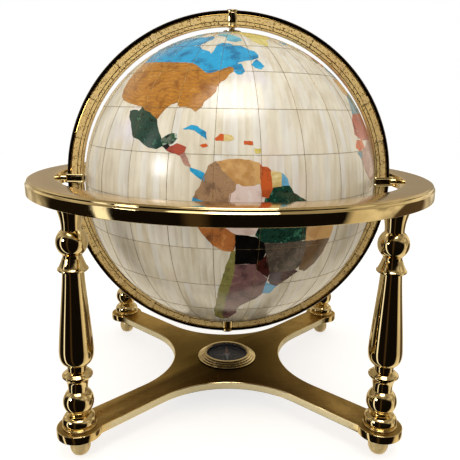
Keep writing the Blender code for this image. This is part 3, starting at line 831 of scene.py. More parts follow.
# %% Spin the horizon ring
RING_SIDES = 240
BOSS_R = 9 * MM
BOSS_SIDES = 32
ring = mesh_object("spun_horizon_ring", lathe(ring_section, RING_SIDES), (POLISHED, SATIN))
for polygon in ring.data.polygons:
    middle = polygon.center
    flat_top = middle.z > RING_TOP - 0.3 * MM and middle.xy.length < RING_LINE
    polygon.material_index = int(flat_top)
ridden(ring, "stand", ("horizon_ring",))
boss_top = RING_TOP - RING_WALL - AIR
tube = [(BORE_R, RING_BOTTOM), (BOSS_R, RING_BOTTOM), (BOSS_R, boss_top), (BORE_R, boss_top)]
for corner, sx, sy in CORNERS:
    shape = lathe(eased(tube, 0.4 * MM), BOSS_SIDES, (sx * LEG_AT, sy * LEG_AT, 0))
    ridden(mesh_object(f"ring_boss_{corner}", shape, POLISHED), "stand")
print("ring faces", len(ring.data.polygons))

# %% [markdown]
# ## The meridian ring
# A flat hoop stands on edge round the globe.  Its face has a raised plain rim on the
# outside, with a bright line along it, a broad cast band with the degrees on it, and a
# narrower band inside a fine groove.  The hoop is spun like the rest and then stood up, and
# bored along X for the swing pins.  At each pole a round boss swells out of it to carry the
# axle.

# %% Section and spin of the meridian ring
MERIDIAN_T = 12 * MM
RIM = MERIDIAN_OUT - 4.4 * MM
SCALE_LINE = MERIDIAN_IN + 5.2 * MM
FACE = MERIDIAN_T / 2 - 0.5 * MM
PIN_R = 3 * MM
PIN_REACH = MERIDIAN_OUT + 9 * MM
CAST_FACE, DARK_PAINTED_RIM, DARK_GROOVE, BRIGHT_LINE = range(4)
UPRIGHT = Matrix.Rotation(math.radians(90), 4, "X")
ALONG_X = Matrix.Rotation(math.radians(90), 4, "Y")


def meridian_half():
    """The front half of the section, from the inside edge to the outside edge."""
    raised = MERIDIAN_T / 2
    return [
        (MERIDIAN_IN, FACE - 0.4 * MM), (MERIDIAN_IN + 0.4 * MM, FACE), (MERIDIAN_IN + 1.0 * MM, FACE),
        (MERIDIAN_IN + 1.2 * MM, FACE - 0.3 * MM), (MERIDIAN_IN + 1.6 * MM, FACE - 0.3 * MM),
        (MERIDIAN_IN + 1.8 * MM, FACE), (SCALE_LINE - 0.4 * MM, FACE),
        (SCALE_LINE - 0.2 * MM, FACE - 0.35 * MM), (SCALE_LINE + 0.2 * MM, FACE - 0.35 * MM),
        (SCALE_LINE + 0.4 * MM, FACE),
        (RIM - 0.9 * MM, FACE), (RIM - 0.7 * MM, FACE - 0.3 * MM), (RIM - 0.4 * MM, FACE - 0.3 * MM),
        (RIM, raised), (MERIDIAN_OUT - 1.7 * MM, raised), (MERIDIAN_OUT - 0.6 * MM, raised - 0.9 * MM),
        (MERIDIAN_OUT, raised - 2.2 * MM),
    ]


half = meridian_half()
hoop = [Vector(p) for p in half] + [Vector((r, -z)) for r, z in reversed(half)]
shape = lathe(hoop, RING_SIDES, PIVOT, tip=UPRIGHT)
meridian = mesh_object("cast_meridian_ring", shape, (ANTIQUE, PAINTED_DARK_BRASS, DARK, POLISHED))
drilled(meridian, PIN_R + AIR, PIN_REACH, PIVOT, ALONG_X)


def meridian_finish(polygon):
    """Which of the ring's materials a face takes, by how far out and how proud it is."""
    reach = (polygon.center - PIVOT).xz.length
    proud = abs(polygon.center.y)
    # The rim is polished brass painted nearly black, a painted dark reflection.
    if reach > RIM - 0.2 * MM:
        return DARK_PAINTED_RIM
    if reach > RIM - 1.0 * MM:
        return BRIGHT_LINE
    in_groove = proud < FACE - 0.05 * MM and reach > MERIDIAN_IN + 0.8 * MM
    return DARK_GROOVE if in_groove else CAST_FACE


for polygon in meridian.data.polygons:
    polygon.material_index = meridian_finish(polygon)
ridden(meridian, "meridian", ("meridian_ring",))
print("meridian faces", len(meridian.data.polygons))

# %% Pole bosses
POLES = (("north", 1), ("south", -1))
POLE_SIDES = 48
POLE_BOSS_R = 7.6 * MM
POLE_BORE_R = 3.3 * MM
POLE_BOSS_PROUD = 0.6 * MM
GROOVE_IN = 3.0 * MM
for pole, sign in POLES:
    low, high = MERIDIAN_IN - POLE_BOSS_PROUD, MERIDIAN_OUT + POLE_BOSS_PROUD
    ribs = [(POLE_BORE_R, high), (POLE_BOSS_R - 1.0 * MM, high), (POLE_BOSS_R, high - 0.8 * MM)]
    for level in (high - GROOVE_IN, low + GROOVE_IN):
        ribs += [(POLE_BOSS_R, level + 0.7 * MM), (POLE_BOSS_R - 0.5 * MM, level + 0.4 * MM)]
        ribs += [(POLE_BOSS_R - 0.5 * MM, level - 0.4 * MM), (POLE_BOSS_R, level - 0.7 * MM)]
    ribs += [(POLE_BOSS_R, low + 0.8 * MM), (POLE_BOSS_R - 1.0 * MM, low), (POLE_BORE_R, low)]
    shape = lathe(eased([(r, sign * z) for r, z in ribs], 0.2 * MM, 2), POLE_SIDES, PIVOT)
    ridden(mesh_object(f"pole_boss_{pole}", shape, POLISHED), "meridian")
print("pole bosses at", round(MERIDIAN_OUT / MM, 1), "mm")

# %% [markdown]
# The scale is the part that repeats: a short tick every five degrees and a long one every
# fifteen, all the way round, on both faces.  A Geometry Nodes tree sets one small bar on
# each point of a circle and turns it to point at the centre.  Its inputs are the number of
# ticks, the circle's radius and the bar's size, so the same tree serves the long and the
# short ticks, and the compass.

# %% Geometry Nodes: a ring of ticks
class Tree(Nodes):
    """A geometry tree with named inputs of the given kinds, and one for the material.
    It ends in Realize Instances and Set Material."""

    def __init__(self, name, **inputs):
        super().__init__(bpy.data.node_groups.new(name, "GeometryNodeTree"))
        self.names = {}
        for key, kind in {**inputs, "Material": "Material"}.items():
            socket = self.tree.interface.new_socket(key, in_out="INPUT", socket_type="NodeSocket" + kind)
            self.names[key] = socket.identifier
        self.tree.interface.new_socket("Geometry", in_out="OUTPUT", socket_type="NodeSocketGeometry")
        self.start = self.tree.nodes.new("NodeGroupInput")

    def __getitem__(self, key):
        return Field(self, self.start.outputs[key])

    def end(self, geometry):
        whole = self.node("GeometryNodeRealizeInstances", None, {"Geometry": geometry})["Geometry"]
        inputs = {"Geometry": whole, "Material": self["Material"]}
        dressed = self.node("GeometryNodeSetMaterial", None, inputs)["Geometry"]
        self.node("NodeGroupOutput", None, {"Geometry": dressed})
        return self

    def make(self, name, material, **values):
        """Runs the tree with these inputs and keeps what it makes as a plain mesh."""
        holder = bpy.data.objects.new(name, bpy.data.meshes.new(name))
        bpy.context.scene.collection.objects.link(holder)
        tool = holder.modifiers.new("tree", "NODES")
        tool.node_group = self.tree
        for key, value in {**values, "Material": material}.items():
            tool[self.names[key]] = value
        applied(holder)
        if material.name not in holder.data.materials:
            holder.data.materials.append(material)
        return holder


def tick_tree():
    tree = Tree("ring_of_ticks", Ticks="Int", Radius="Float", Length="Float", Width="Float", Proud="Float")
    size = tree.vector(tree["Length"], tree["Width"], tree["Proud"])
    bar = tree.node("GeometryNodeMeshCube", None, {"Size": size})["Mesh"]
    points = tree.node("GeometryNodePoints", None, {"Count": tree["Ticks"]})["Points"]
    number = tree.node("GeometryNodeInputIndex")["Index"]
    angle = number * (2 * math.pi) / tree["Ticks"]
    x = angle.math("COSINE") * tree["Radius"]
    y = angle.math("SINE") * tree["Radius"]
    inputs = {"Geometry": points, "Position": tree.vector(x, y)}
    placed = tree.node("GeometryNodeSetPosition", None, inputs)["Geometry"]
    inputs = {"Points": placed, "Instance": bar, "Rotation": tree.vector(z=angle)}
    return tree.end(tree.node("GeometryNodeInstanceOnPoints", None, inputs)["Instances"])


TICKS = tick_tree()
print("tick tree inputs", list(TICKS.names))


# %% Ticks on both faces of the meridian ring
def moved(piece, matrix):
    """Puts a matrix into the mesh, so that the object stays at the origin."""
    piece.data.transform(matrix)
    return piece


def merged(name, pieces):
    """Several objects' meshes as one piece."""
    shape = bmesh.new()
    materials = []
    for piece in pieces:
        for one in piece.data.materials:
            if one not in materials:
                materials.append(one)
        shape.from_mesh(piece.data)
        bpy.data.objects.remove(piece)
    return mesh_object(name, shape, materials)


TICK_PROUD = 0.5 * MM
TICK_RINGS = (
    # how many, radius, length, width
    (72, (MERIDIAN_IN + 1.8 * MM + SCALE_LINE) / 2, 2.6 * MM, 0.32 * MM),
    (24, (SCALE_LINE + RIM) / 2, 6.6 * MM, 0.34 * MM),
)
marks = []
for face, sign in (("front", -1), ("back", 1)):
    for count, middle, length, width in TICK_RINGS:
        made = TICKS.make(
            f"ticks_{face}_{count}", DARK,
            Ticks=count, Radius=middle, Length=length, Width=width, Proud=TICK_PROUD,
        )
        out = Matrix.Translation(PIVOT + Vector((0, sign * FACE, 0)))
        marks.append(moved(made, out @ UPRIGHT))
ticks = merged("meridian_ticks", marks)
ridden(ticks, "meridian")
print("tick faces", len(ticks.data.polygons))

# %% [markdown]
# The degrees are numbered every fifteen: nought at the equator, up to seventy-five on
# either side of each pole.  Each number is a text object laid along the radius, with its
# top towards the north pole, made a mesh and raised a little out of the cast ground.  A
# second copy with fatter strokes, dark and a little lower, outlines it.

# %% Numerals
NUMERAL_TALL = 5.6 * MM
NUMERAL_PROUD = 0.35 * MM
TEXT_PER_DIGIT = 1.35  # text size for digits of height one
OUTLINE_SWELL = 0.45 * MM
OUTLINE_SINK = 0.3  # how much shallower the outline is, as a share of its swell
BESIDE_TICK = 0.72  # of a digit's height, so that a number stands beside its long tick
STEP_DEG = 15


def numeral(text, east, north, front, swell=0.0):
    """One number on the meridian, at a direction (east, north) from the globe's centre.
    Swell fattens its strokes and sinks it, for the dark outline behind each number."""
    curve = bpy.data.curves.new("numeral", "FONT")
    curve.body = text
    curve.size = NUMERAL_TALL * TEXT_PER_DIGIT
    curve.align_x = "CENTER"
    curve.align_y = "CENTER"
    curve.space_character = 1.05
    deep = NUMERAL_PROUD / 2 - swell * OUTLINE_SINK
    curve.extrude = deep
    curve.offset = swell
    curve.resolution_u = 3
    holder = bpy.data.objects.new("numeral", curve)
    bpy.context.scene.collection.objects.link(holder)
    bpy.context.view_layer.update()
    graph = bpy.context.evaluated_depsgraph_get()
    mesh = bpy.data.meshes.new_from_object(holder.evaluated_get(graph))
    bpy.data.objects.remove(holder)
    made = bpy.data.objects.new("numeral", mesh)
    bpy.context.scene.collection.objects.link(made)
    outward = Vector((east, 0, north))
    read = outward * (1 if east > 0 else -1)
    away = Vector((0, -1 if front else 1, 0))
    if not front:
        read = -read
    up = away.cross(read)
    turned = Matrix((read, up, away)).transposed().to_4x4()
    reach = (SCALE_LINE + RIM) / 2 - 0.2 * MM
    lift = FACE + deep - 0.02 * MM
    nudge = up * NUMERAL_TALL * BESIDE_TICK
    spot = PIVOT + outward * reach + away * lift + nudge
    return moved(made, Matrix.Translation(spot) @ turned)


numbers = []
for quarter_east in (-1, 1):
    for quarter_north in (-1, 1):
        for degree in range(0, 90, STEP_DEG):
            if degree == 0 and quarter_north < 0:
                continue
            lie = math.radians(degree)
            for front in (True, False):
                east, north = quarter_east * math.cos(lie), quarter_north * math.sin(lie)
                for swell, metal in ((0.0, RUBBED_AND_PAINTED_BRIGHT), (OUTLINE_SWELL, DARK)):
                    number = numeral(str(degree), east, north, front, swell)
                    number.data.materials.clear()
                    number.data.materials.append(metal)
                    numbers.append(number)
numerals = merged("meridian_numerals", numbers)
ridden(numerals, "meridian")
print("numerals", len(numbers), "faces", len(numerals.data.polygons))

# %% [markdown]
# ## Pins, collars, axle and pole bushes
# Where the swing pins enter the meridian ring, a square sleeve with two rolled lips wraps
# round it.  The lathe can't make it, so it is a stack of rounded rectangles, wide at the
# lips and narrow between them, with the slot for the ring left open through the middle.

# %% Collars
COLLAR_H = 10 * MM
COLLAR_SHARP_DEG = 50
LIP = 1.9 * MM
LIP_H = 2.2 * MM
LIP_SOFT = 0.5 * MM
LIP_ROUND = 0.6 * MM
COLLAR_WALL = 1.0 * MM


def rounded_rectangle(half_x, half_y, radius, steps=5):
    points = []
    for cx, cy, first in ((1, 1, 0), (-1, 1, 90), (-1, -1, 180), (1, -1, 270)):
        for i in range(steps + 1):
            a = math.radians(first + 90 * i / steps)
            x = cx * (half_x - radius) + radius * math.cos(a)
            points.append((x, cy * (half_y - radius) + radius * math.sin(a)))
    return points


def sleeve(levels, half_x, half_y, at):
    """Closed band round a slot: levels are (how far out, height), inside first and last."""
    shape = bmesh.new()
    loops = []
    for out, high in levels:
        radius = max(0.3 * MM, out + 0.4 * MM)
        around = rounded_rectangle(half_x + out, half_y + out, radius)
        loops.append([shape.verts.new((at.x + x, at.y + y, at.z + high)) for x, y in around])
    for low, high in zip(loops, loops[1:] + loops[:1]):
        for i in range(len(low)):
            j = (i + 1) % len(low)
            shape.faces.new((low[i], low[j], high[j], high[i]))
    return shape


half_h = COLLAR_H / 2
levels = [(0.0, -half_h)]
levels += [(LIP - LIP_SOFT, -half_h), (LIP, -half_h + LIP_ROUND), (LIP, -half_h + LIP_H - LIP_ROUND)]
levels += [(LIP - LIP_SOFT, -half_h + LIP_H), (COLLAR_WALL, -half_h + LIP_H), (COLLAR_WALL, half_h - LIP_H)]
levels += [(LIP - LIP_SOFT, half_h - LIP_H), (LIP, half_h - LIP_H + LIP_ROUND), (LIP, half_h - LIP_ROUND)]
levels += [(LIP - LIP_SOFT, half_h), (0.0, half_h)]
slot_x = (MERIDIAN_OUT - MERIDIAN_IN) / 2 + AIR
slot_y = MERIDIAN_T / 2 + AIR
for side, sx in SIDES:
    at = PIVOT + Vector((sx * (MERIDIAN_IN + MERIDIAN_OUT) / 2, 0, 0))
    shape = sleeve(levels, slot_x, slot_y, at)
    collar = mesh_object(f"rolled_collar_{side}", shape, POLISHED, COLLAR_SHARP_DEG)
    drilled(collar, PIN_R + AIR, PIN_REACH, PIVOT, ALONG_X)
    ridden(collar, "meridian", (f"swing_collar_{side}",))
print("collar faces", len(collar.data.polygons))

# %% Pins and axle
ROD_SIDES = 32
PIN_HEAD_R = 4.5 * MM
PIN_HEAD_T = 2.5 * MM


def rod(name, points, tip, material, body, node):
    shape = lathe(eased(points, 0.25 * MM, 2), ROD_SIDES, PIVOT, closed=False, tip=tip)
    ridden(mesh_object(name, shape, material), body, (node,))


for side, sx in SIDES:
    low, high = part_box(f"swing_pin_{side}")
    inner, outer = sorted((abs(low.x), abs(high.x)))
    neck = outer - PIN_HEAD_T
    points = [(0, inner), (PIN_R, inner), (PIN_R, neck), (PIN_HEAD_R, neck), (PIN_HEAD_R, outer), (0, outer)]
    tip = Matrix.Rotation(sx * math.radians(90), 4, "Y")
    rod(f"polished_pin_{side}", points, tip, POLISHED, "stand", f"swing_pin_{side}")
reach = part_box("axle")[1].z - PIVOT.z
points = [(0, -reach), (PIN_R, -reach), (PIN_R, reach), (0, reach)]
rod("polished_axle", points, None, STEEL, "meridian", "axle")
print("axle half length", round(reach / MM, 1), "mm")

# %% Pole bushes
BUSH = (
    # radius and height above the globe, in millimetres: collar, flange and the tube inside
    (3.3, 3.0), (4.0, 3.0), (4.6, 2.4), (5.0, 2.15), (6.2, 2.05), (9.7, 1.9), (10.0, 1.7), (10.0, 1.2),
    (9.7, 1.0), (6.6, 0.75), (5.5, 0.2), (5.5, -9.0), (3.3, -9.0),
)
for pole, sign in POLES:
    points = [Vector((r * MM, sign * (GLOBE_R + z * MM))) for r, z in BUSH]
    bush = mesh_object(f"turned_pole_bush_{pole}", lathe(points, POLE_SIDES, PIVOT), POLISHED)
    ridden(bush, "globe", (f"pole_bush_{pole}",))
print("bush faces", len(bush.data.polygons))

# %% [markdown]
# ## The compass
# A small dry compass is set in a stepped brass cup in the middle of the plate.  The cup
# is turned, with bright treads and risers painted black as a painted dark reflection; the
# card under the needle is black, printed with ticks and an eight-pointed star; the needle
# balances on a sharp post, and a clear lens covers it.

# %% Compass cup
STEP_IN = 2.4 * MM
STEP_UP = 1.7 * MM
STEPS = 4
CUP_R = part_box("compass_housing")[1].x
CUP_TALL = STEPS * STEP_UP
CUP_SIDES = 96
CUP_SHARP_DEG = 20
RISERS, TREADS = range(2)
WELL_R = CUP_R - STEPS * STEP_IN - 0.4 * MM
DIAL_WELL_R = WELL_R - 1.0 * MM
CUP_FLOOR = 1.1 * MM
LEDGE = CUP_TALL - 1.5 * MM
cup = [(0, CUP_FLOOR), (DIAL_WELL_R, CUP_FLOOR), (DIAL_WELL_R, LEDGE), (WELL_R, LEDGE), (WELL_R, CUP_TALL)]
for step in reversed(range(STEPS)):
    radius = CUP_R - step * STEP_IN
    cup += [(radius, (step + 1) * STEP_UP), (radius, max(step * STEP_UP, AIR))]
cup += [(0, AIR)]
shape = lathe(eased(cup, 0.45 * MM), CUP_SIDES, (0, 0, PLATE_TOP), closed=False)
housing = mesh_object("turned_compass_cup", shape, (PAINTED_DARK_BRASS, POLISHED), CUP_SHARP_DEG)
# Faces that look up stay polished; the upright risers take the dark brass, painted shade and reflection by
# the way each face is turned.
for polygon in housing.data.polygons:
    polygon.material_index = TREADS if polygon.normal.z > 0.2 else RISERS
ridden(housing, "stand", ("compass_housing",))
print("cup radius", round(CUP_R / MM, 1), "mm")


# %% Card, lens and post
DISC_SIDES = 72
POST_R = 1.1 * MM
POST_FOOT = 0.7 * MM
POST_SIDES = 24


def black_card():
    card = Finish("black_card", Coat_Weight=0.3, Coat_Roughness=0.2)
    at = card.place()
    fibre = card.noise(at, 900.0, 3.0)
    fade = card.noise(at, 70.0, 3.0).smooth(0.4, 0.7)
    card.feed(Base_Color=card.blend(fade, (0.012, 0.012, 0.014), (0.035, 0.032, 0.030)))
    card.feed(Roughness=fibre * 0.2 + 0.35)
    card.bump(fibre, 0.02 * MM)
    return card.material


def clear_lens():
    """Nearly all of what is under it shows through, and it shines on top."""
    lens = Finish("clear_lens", Roughness=0.02, IOR=1.2)
    smear = lens.noise(lens.place(), 90.0, 3.0).smooth(0.45, 0.75)
    lens.feed(Base_Color=lens.blend(smear, (0.02, 0.025, 0.04), (0.05, 0.055, 0.07)))
    lens.feed(Alpha=smear * 0.06 + 0.14)
    return lens.material


def disc(node, ease, steps):
    """Flat disc that fills the box of a node, with eased edges."""
    low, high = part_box(node)
    corners = [(0, low.z), (high.x, low.z), (high.x, high.z), (0, high.z)]
    return lathe(eased(corners, ease, steps), DISC_SIDES, closed=False)


card_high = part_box("compass_dial")[1]
card = mesh_object("compass_card", disc("compass_dial", 0.15 * MM, 2), black_card())
ridden(card, "stand", ("compass_dial",))
glass = mesh_object("compass_glass", disc("compass_lens", 0.4 * MM, 3), clear_lens())
ridden(glass, "stand", ("compass_lens",))
post_low, post_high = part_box("compass_pivot")
post = [(0, post_low.z), (POST_R, post_low.z), (POST_R, post_low.z + POST_FOOT), (0, post_high.z)]
shape = lathe([Vector(p) for p in post], POST_SIDES, closed=False)
ridden(mesh_object("compass_post", shape, STEEL), "stand", ("compass_pivot",))
print("card radius", round(card_high.x / MM, 1), "mm")

# %% [markdown]
# The star on the card is four long points over four short ones, each split down the
# middle into a light and a dark half, as engraved roses are.

# %% Printed rose and degree ticks
PRINT_T = 0.08 * MM


def printed_ink(name, *tones):
    return mottled(name, scale=800.0, detail=4.0, spread=(0.35, 0.65), tones=tones, rough=(0.35, 0.55))


PALE_INK = printed_ink("pale_ink", (0.30, 0.29, 0.27), (0.20, 0.20, 0.19))
GREY_INK = printed_ink("grey_ink", (0.12, 0.12, 0.12), (0.07, 0.07, 0.07))


def star(points):
    """Points are (bearing in degrees, length, half width), drawn as two-tone blades."""
    shape = bmesh.new()
    high = card_high.z + PRINT_T
    for bearing, length, wide in points:
        spin = Matrix.Rotation(math.radians(-bearing), 3, "Z")
        for side in (-1, 1):
            flat = [(0, 0), (0, length), (side * wide, wide * 1.1)]
            corners = [spin @ Vector((x, y, high)) for x, y in flat]
            upper = [shape.verts.new(p) for p in corners]
            lower = [shape.verts.new(p - Vector((0, 0, PRINT_T))) for p in corners]
            shape.faces.new(upper)
            shape.faces.new(lower)
            for i in range(3):
                j = (i + 1) % 3
                shape.faces.new((upper[i], upper[j], lower[j], lower[i]))
            shape.faces.ensure_lookup_table()
            for face in shape.faces[-5:]:
                face.material_index = int(side > 0)
    return shape


blades = [(45 + 90 * i, 9 * MM, 1.6 * MM) for i in range(4)]
blades += [(90 * i, 14 * MM, 2.2 * MM) for i in range(4)]
rose = mesh_object("compass_rose", star(blades), (PALE_INK, GREY_INK))
ridden(rose, "stand")
CARD_TICKS = (
    # how many, then radius, length and width in millimetres
    (72, 22.2, 1.2, 0.22),
    (24, 21.4, 2.8, 0.36),
)
rings = []
for count, radius, length, width in CARD_TICKS:
    made = TICKS.make(
        f"card_ticks_{count}", PALE_INK,
        Ticks=count, Radius=radius * MM, Length=length * MM, Width=width * MM, Proud=PRINT_T,
    )
    rings.append(moved(made, Matrix.Translation((0, 0, card_high.z + PRINT_T / 2))))
ridden(merged("compass_ticks", rings), "stand")
print("rose blades", len(blades))


# %% Needle
NEEDLE_EYE_R = 1.4 * MM


def enamel(name, tone):
    return mottled(
        name, scale=500.0, detail=3.0, spread=(0.3, 0.7), tones=(tone, tuple(v * 0.7 for v in tone)),
        rough=(0.25, 0.40), relief=0.01 * MM, Coat_Weight=0.6, Coat_Roughness=0.1,
    )


def needle_shape(low, high):
    """A long diamond with a hole over the post: a band of eight quads on each face."""
    shape = bmesh.new()
    tip = high.y
    wide = high.x
    rim = [(wide, 0), (wide / 2, tip / 2), (0, tip), (-wide / 2, tip / 2)]
    rim += [(-x, -y) for x, y in rim]
    turns = [i * math.pi / 4 for i in range(8)]
    eye = [(NEEDLE_EYE_R * math.cos(a), NEEDLE_EYE_R * math.sin(a)) for a in turns]
    rings = [[shape.verts.new((x, y, z)) for x, y in ring] for z in (high.z, low.z) for ring in (rim, eye)]
    for one, other in ((0, 1), (2, 3), (0, 2), (1, 3)):
        for i in range(8):
            j = (i + 1) % 8
            face = shape.faces.new((rings[one][i], rings[one][j], rings[other][j], rings[other][i]))
            face.material_index = int(face.calc_center_median().y < 0)
    return shape


needle_low, needle_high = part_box("compass_needle")
shape = needle_shape(needle_low, needle_high)
NEEDLE_MATERIALS = (enamel("red_enamel", (0.22, 0.03, 0.02)), enamel("white_enamel", (0.34, 0.34, 0.33)))
needle = mesh_object("compass_pointer", shape, NEEDLE_MATERIALS)
ridden(needle, "needle", ("compass_needle",))
print("needle length", round(2 * needle_high.y / MM, 1), "mm")

# %% [markdown]
# ## The globe
# The globe is a resin ball inlaid with stone.  The sea is mother-of-pearl, laid in narrow
# strips that run north and south; the lands are slices of coloured stone, about one for
# each country; and thin brass wires mark every fifteenth degree.  Two fine half shells
# carry the pearl, and each land is a thin closed slice that stands a hair above it.

# %% Pearl half shells
SHELL_T = 5 * MM
BUSH_HOLE_R = 5.8 * MM
SEA_R = GLOBE_R - 0.25 * MM
GLOBE_SIDES = 180
GLOBE_BANDS = 60


def half_shell(sign):
    """Outside and inside arcs from the pole hole to the equator, as one closed section."""
    points = []
    down = range(GLOBE_BANDS + 1)
    for radius, order in ((SEA_R, down), (SEA_R - SHELL_T, reversed(down))):
        first = math.asin(BUSH_HOLE_R / radius)
        last = math.acos(AIR / 2 / radius)
        for i in order:
            a = first + (last - first) * i / GLOBE_BANDS
            points.append(Vector((radius * math.sin(a), sign * radius * math.cos(a))))
    return points


STRIP_DEG = 2.5
STRIP_START = 7.0
CELL_DEG = 15.0
TO_DEGREES = 180 / math.pi


def pearl_sea():
    """Strips of shell that reach from one parallel to the next, each a little different."""
    pearl = Finish("mother_of_pearl", Coat_Weight=0.8, Coat_Roughness=0.17, Coat_IOR=1.5)
    at = pearl.place(centre=PIVOT)
    way = pearl.node("ShaderNodeSeparateXYZ", None, {0: at})
    east = way["X"].math("ARCTAN2", way["Y"] * -1.0) * TO_DEGREES
    north = way["Z"].math("ARCTAN2", pearl.off_axis(at)) * TO_DEGREES
    row = (north / CELL_DEG + 40.0).math("FLOOR")
    shifted = (east + STRIP_START) / STRIP_DEG
    strip = shifted.math("FLOOR")
    inside = shifted - strip
    inputs = {"Vector": pearl.vector(strip, row)}
    tint = pearl.node("ShaderNodeTexWhiteNoise", {"noise_dimensions": "2D"}, inputs)["Value"]
    slant = pearl.vector(strip * 3.7, row * 5.1)
    pushed = pearl.vector_math("ADD", pearl.place(PIVOT, (30, 30, 13)), slant)
    cloud = pearl.noise(pushed, 1.0, 5.0, 0.62)
    settings = {"wave_type": "BANDS", "bands_direction": "X"}
    inputs = {"Vector": pushed, "Scale": 0.9, "Distortion": 7.0, "Detail": 3.0, "Detail Scale": 1.2}
    waves = pearl.node("ShaderNodeTexWave", settings, inputs)["Fac"]
    fine = pearl.vector_math("MULTIPLY", pushed, (5.0, 5.0, 1.6))
    nacre = cloud * 0.62 + waves * 0.16 + pearl.noise(fine, 1.0, 3.0, 0.6) * 0.22
    warm = pearl.blend(nacre.smooth(0.15, 0.70), (0.60, 0.51, 0.35), (0.84, 0.77, 0.61))
    cool = pearl.blend(nacre.smooth(0.20, 0.65), (0.66, 0.60, 0.50), (0.83, 0.79, 0.70))
    sea = pearl.blend(tint.smooth(0.55, 1.0), warm, cool)
    sheen = pearl.noise(at, 13.0, 2.0).smooth(0.60, 0.76)
    sea = pearl.blend(sheen * 0.55, sea, (0.80, 0.76, 0.90))
    glow = pearl.noise(at, 17.0, 2.0, 0.4).smooth(0.64, 0.80)
    sea = pearl.blend(glow * 0.35, sea, (0.92, 0.74, 0.66))
    joint = inside.math("PINGPONG", 0.5).smooth(0.0, 0.045)
    sea = pearl.blend((1 - joint) * 0.16, sea, (0.50, 0.42, 0.30))
    pearl.feed(Base_Color=sea)
    pearl.feed(Roughness=nacre * 0.12 + tint * 0.08 + 0.16)
    pearl.bump(nacre * 0.4 + joint, 0.05 * MM)
    return pearl.material


PEARL = pearl_sea()
for pole, sign in POLES:
    shell = mesh_object(f"pearl_shell_{pole}", lathe(half_shell(sign), GLOBE_SIDES, PIVOT), PEARL)
    ridden(shell, "globe", (f"globe_shell_{pole}",))
print("sea radius", round(SEA_R / MM, 2), "mm, strips of", STRIP_DEG, "degrees")

# %% [markdown]
# ### Brass wires
# The wires follow a rule, so a Geometry Nodes tree draws them: great circles through the
# poles for the meridians, and circles of shrinking radius for the parallels.  Both are
# curves first, and a small round section swept along them makes the wire.  They lie about
# half sunk in the pearl, and end under the pole bushes.  FRONT_LONGITUDE is the line that
# faces the front, about midway between two wires.

# %% Geometry Nodes: meridians and parallels
WIRE_R = 0.20 * MM
WIRE_PROUD = 0.06 * MM
WIRE_SIDES = 144
FRONT_LONGITUDE = -68.0


def sweep(tree, curves):
    """Sweeps a small round section of the tree's wire radius along curves."""
    inputs = {"Resolution": 5, "Radius": tree["Wire"]}
    round_section = tree.node("GeometryNodeCurvePrimitiveCircle", None, inputs)["Curve"]
    whole = tree.node("GeometryNodeRealizeInstances", None, {"Geometry": curves})["Geometry"]
    inputs = {"Curve": whole, "Profile Curve": round_section}
    return tree.node("GeometryNodeCurveToMesh", None, inputs)["Mesh"]


def meridian_tree():
    tree = Tree("meridian_wires", Circles="Int", Radius="Float", Wire="Float")
    inputs = {"Resolution": WIRE_SIDES, "Radius": tree["Radius"]}
    circle = tree.node("GeometryNodeCurvePrimitiveCircle", None, inputs)["Curve"]
    points = tree.node("GeometryNodePoints", None, {"Count": tree["Circles"]})["Points"]
    number = tree.node("GeometryNodeInputIndex")["Index"]
    lean = tree.vector(math.pi / 2, 0.0, number * math.pi / tree["Circles"])
    inputs = {"Points": points, "Instance": circle, "Rotation": lean}
    return tree.end(sweep(tree, tree.node("GeometryNodeInstanceOnPoints", None, inputs)["Instances"]))


def parallel_tree():
    tree = Tree("parallel_wires", Circles="Int", Radius="Float", Wire="Float")
    inputs = {"Resolution": WIRE_SIDES, "Radius": 1.0}
    circle = tree.node("GeometryNodeCurvePrimitiveCircle", None, inputs)["Curve"]
    number = tree.node("GeometryNodeInputIndex")["Index"]
    lie = (number + 1.0) / (tree["Circles"] + 1.0) * math.pi - math.pi / 2
    high = lie.math("SINE") * tree["Radius"]
    wide = lie.math("COSINE") * tree["Radius"]
    inputs = {"Count": tree["Circles"], "Position": tree.vector(z=high)}
    points = tree.node("GeometryNodePoints", None, inputs)["Points"]
    scale = tree.vector(wide, wide, 1.0)
    inputs = {"Points": points, "Instance": circle, "Scale": scale}
    return tree.end(sweep(tree, tree.node("GeometryNodeInstanceOnPoints", None, inputs)["Instances"]))


def clear_of_axle(piece):
    """Takes a mesh away round the globe's axle, under the bushes, and closes the cut ends."""
    shape = bmesh.new()
    shape.from_mesh(piece.data)
    near = [v for v in shape.verts if v.co.xy.length < BUSH_HOLE_R]
    bmesh.ops.delete(shape, geom=near, context="VERTS")
    bmesh.ops.holes_fill(shape, edges=[e for e in shape.edges if e.is_boundary])
    shape.to_mesh(piece.data)
    shape.free()


WIRE = mottled(
    "wire_brass", scale=160.0, detail=4.0, spread=(0.35, 0.65),
    tones=((0.55, 0.42, 0.20), (0.24, 0.17, 0.08)), rough=(0.25, 0.45), relief=0.01 * MM, Metallic=1.0,
)
first_wire = math.radians(FRONT_LONGITUDE % CELL_DEG)
for name, tree, count in (("meridian_wires", meridian_tree(), 12), ("parallel_wires", parallel_tree(), 11)):
    wires = tree.make(name, WIRE, Circles=count, Radius=SEA_R + WIRE_PROUD, Wire=WIRE_R)
    moved(wires, Matrix.Translation(PIVOT) @ Matrix.Rotation(-first_wire, 4, "Z"))
    clear_of_axle(wires)
    wires.data.shade_smooth()
    ridden(wires, "globe")
    print(name, len(wires.data.polygons), "faces")

# %% [markdown]
# ### Finishes of the stones
# Each country is cut from one slice of stone, and stones differ in kind as well as in
# colour.  One function makes them all from three colours and a kind: `cloudy` stones are
# soft and mottled, `banded` ones are striped, `speckled` ones are full of dark grains and
# `veined` ones have fine cracks.  A clear polish lies over all of them.

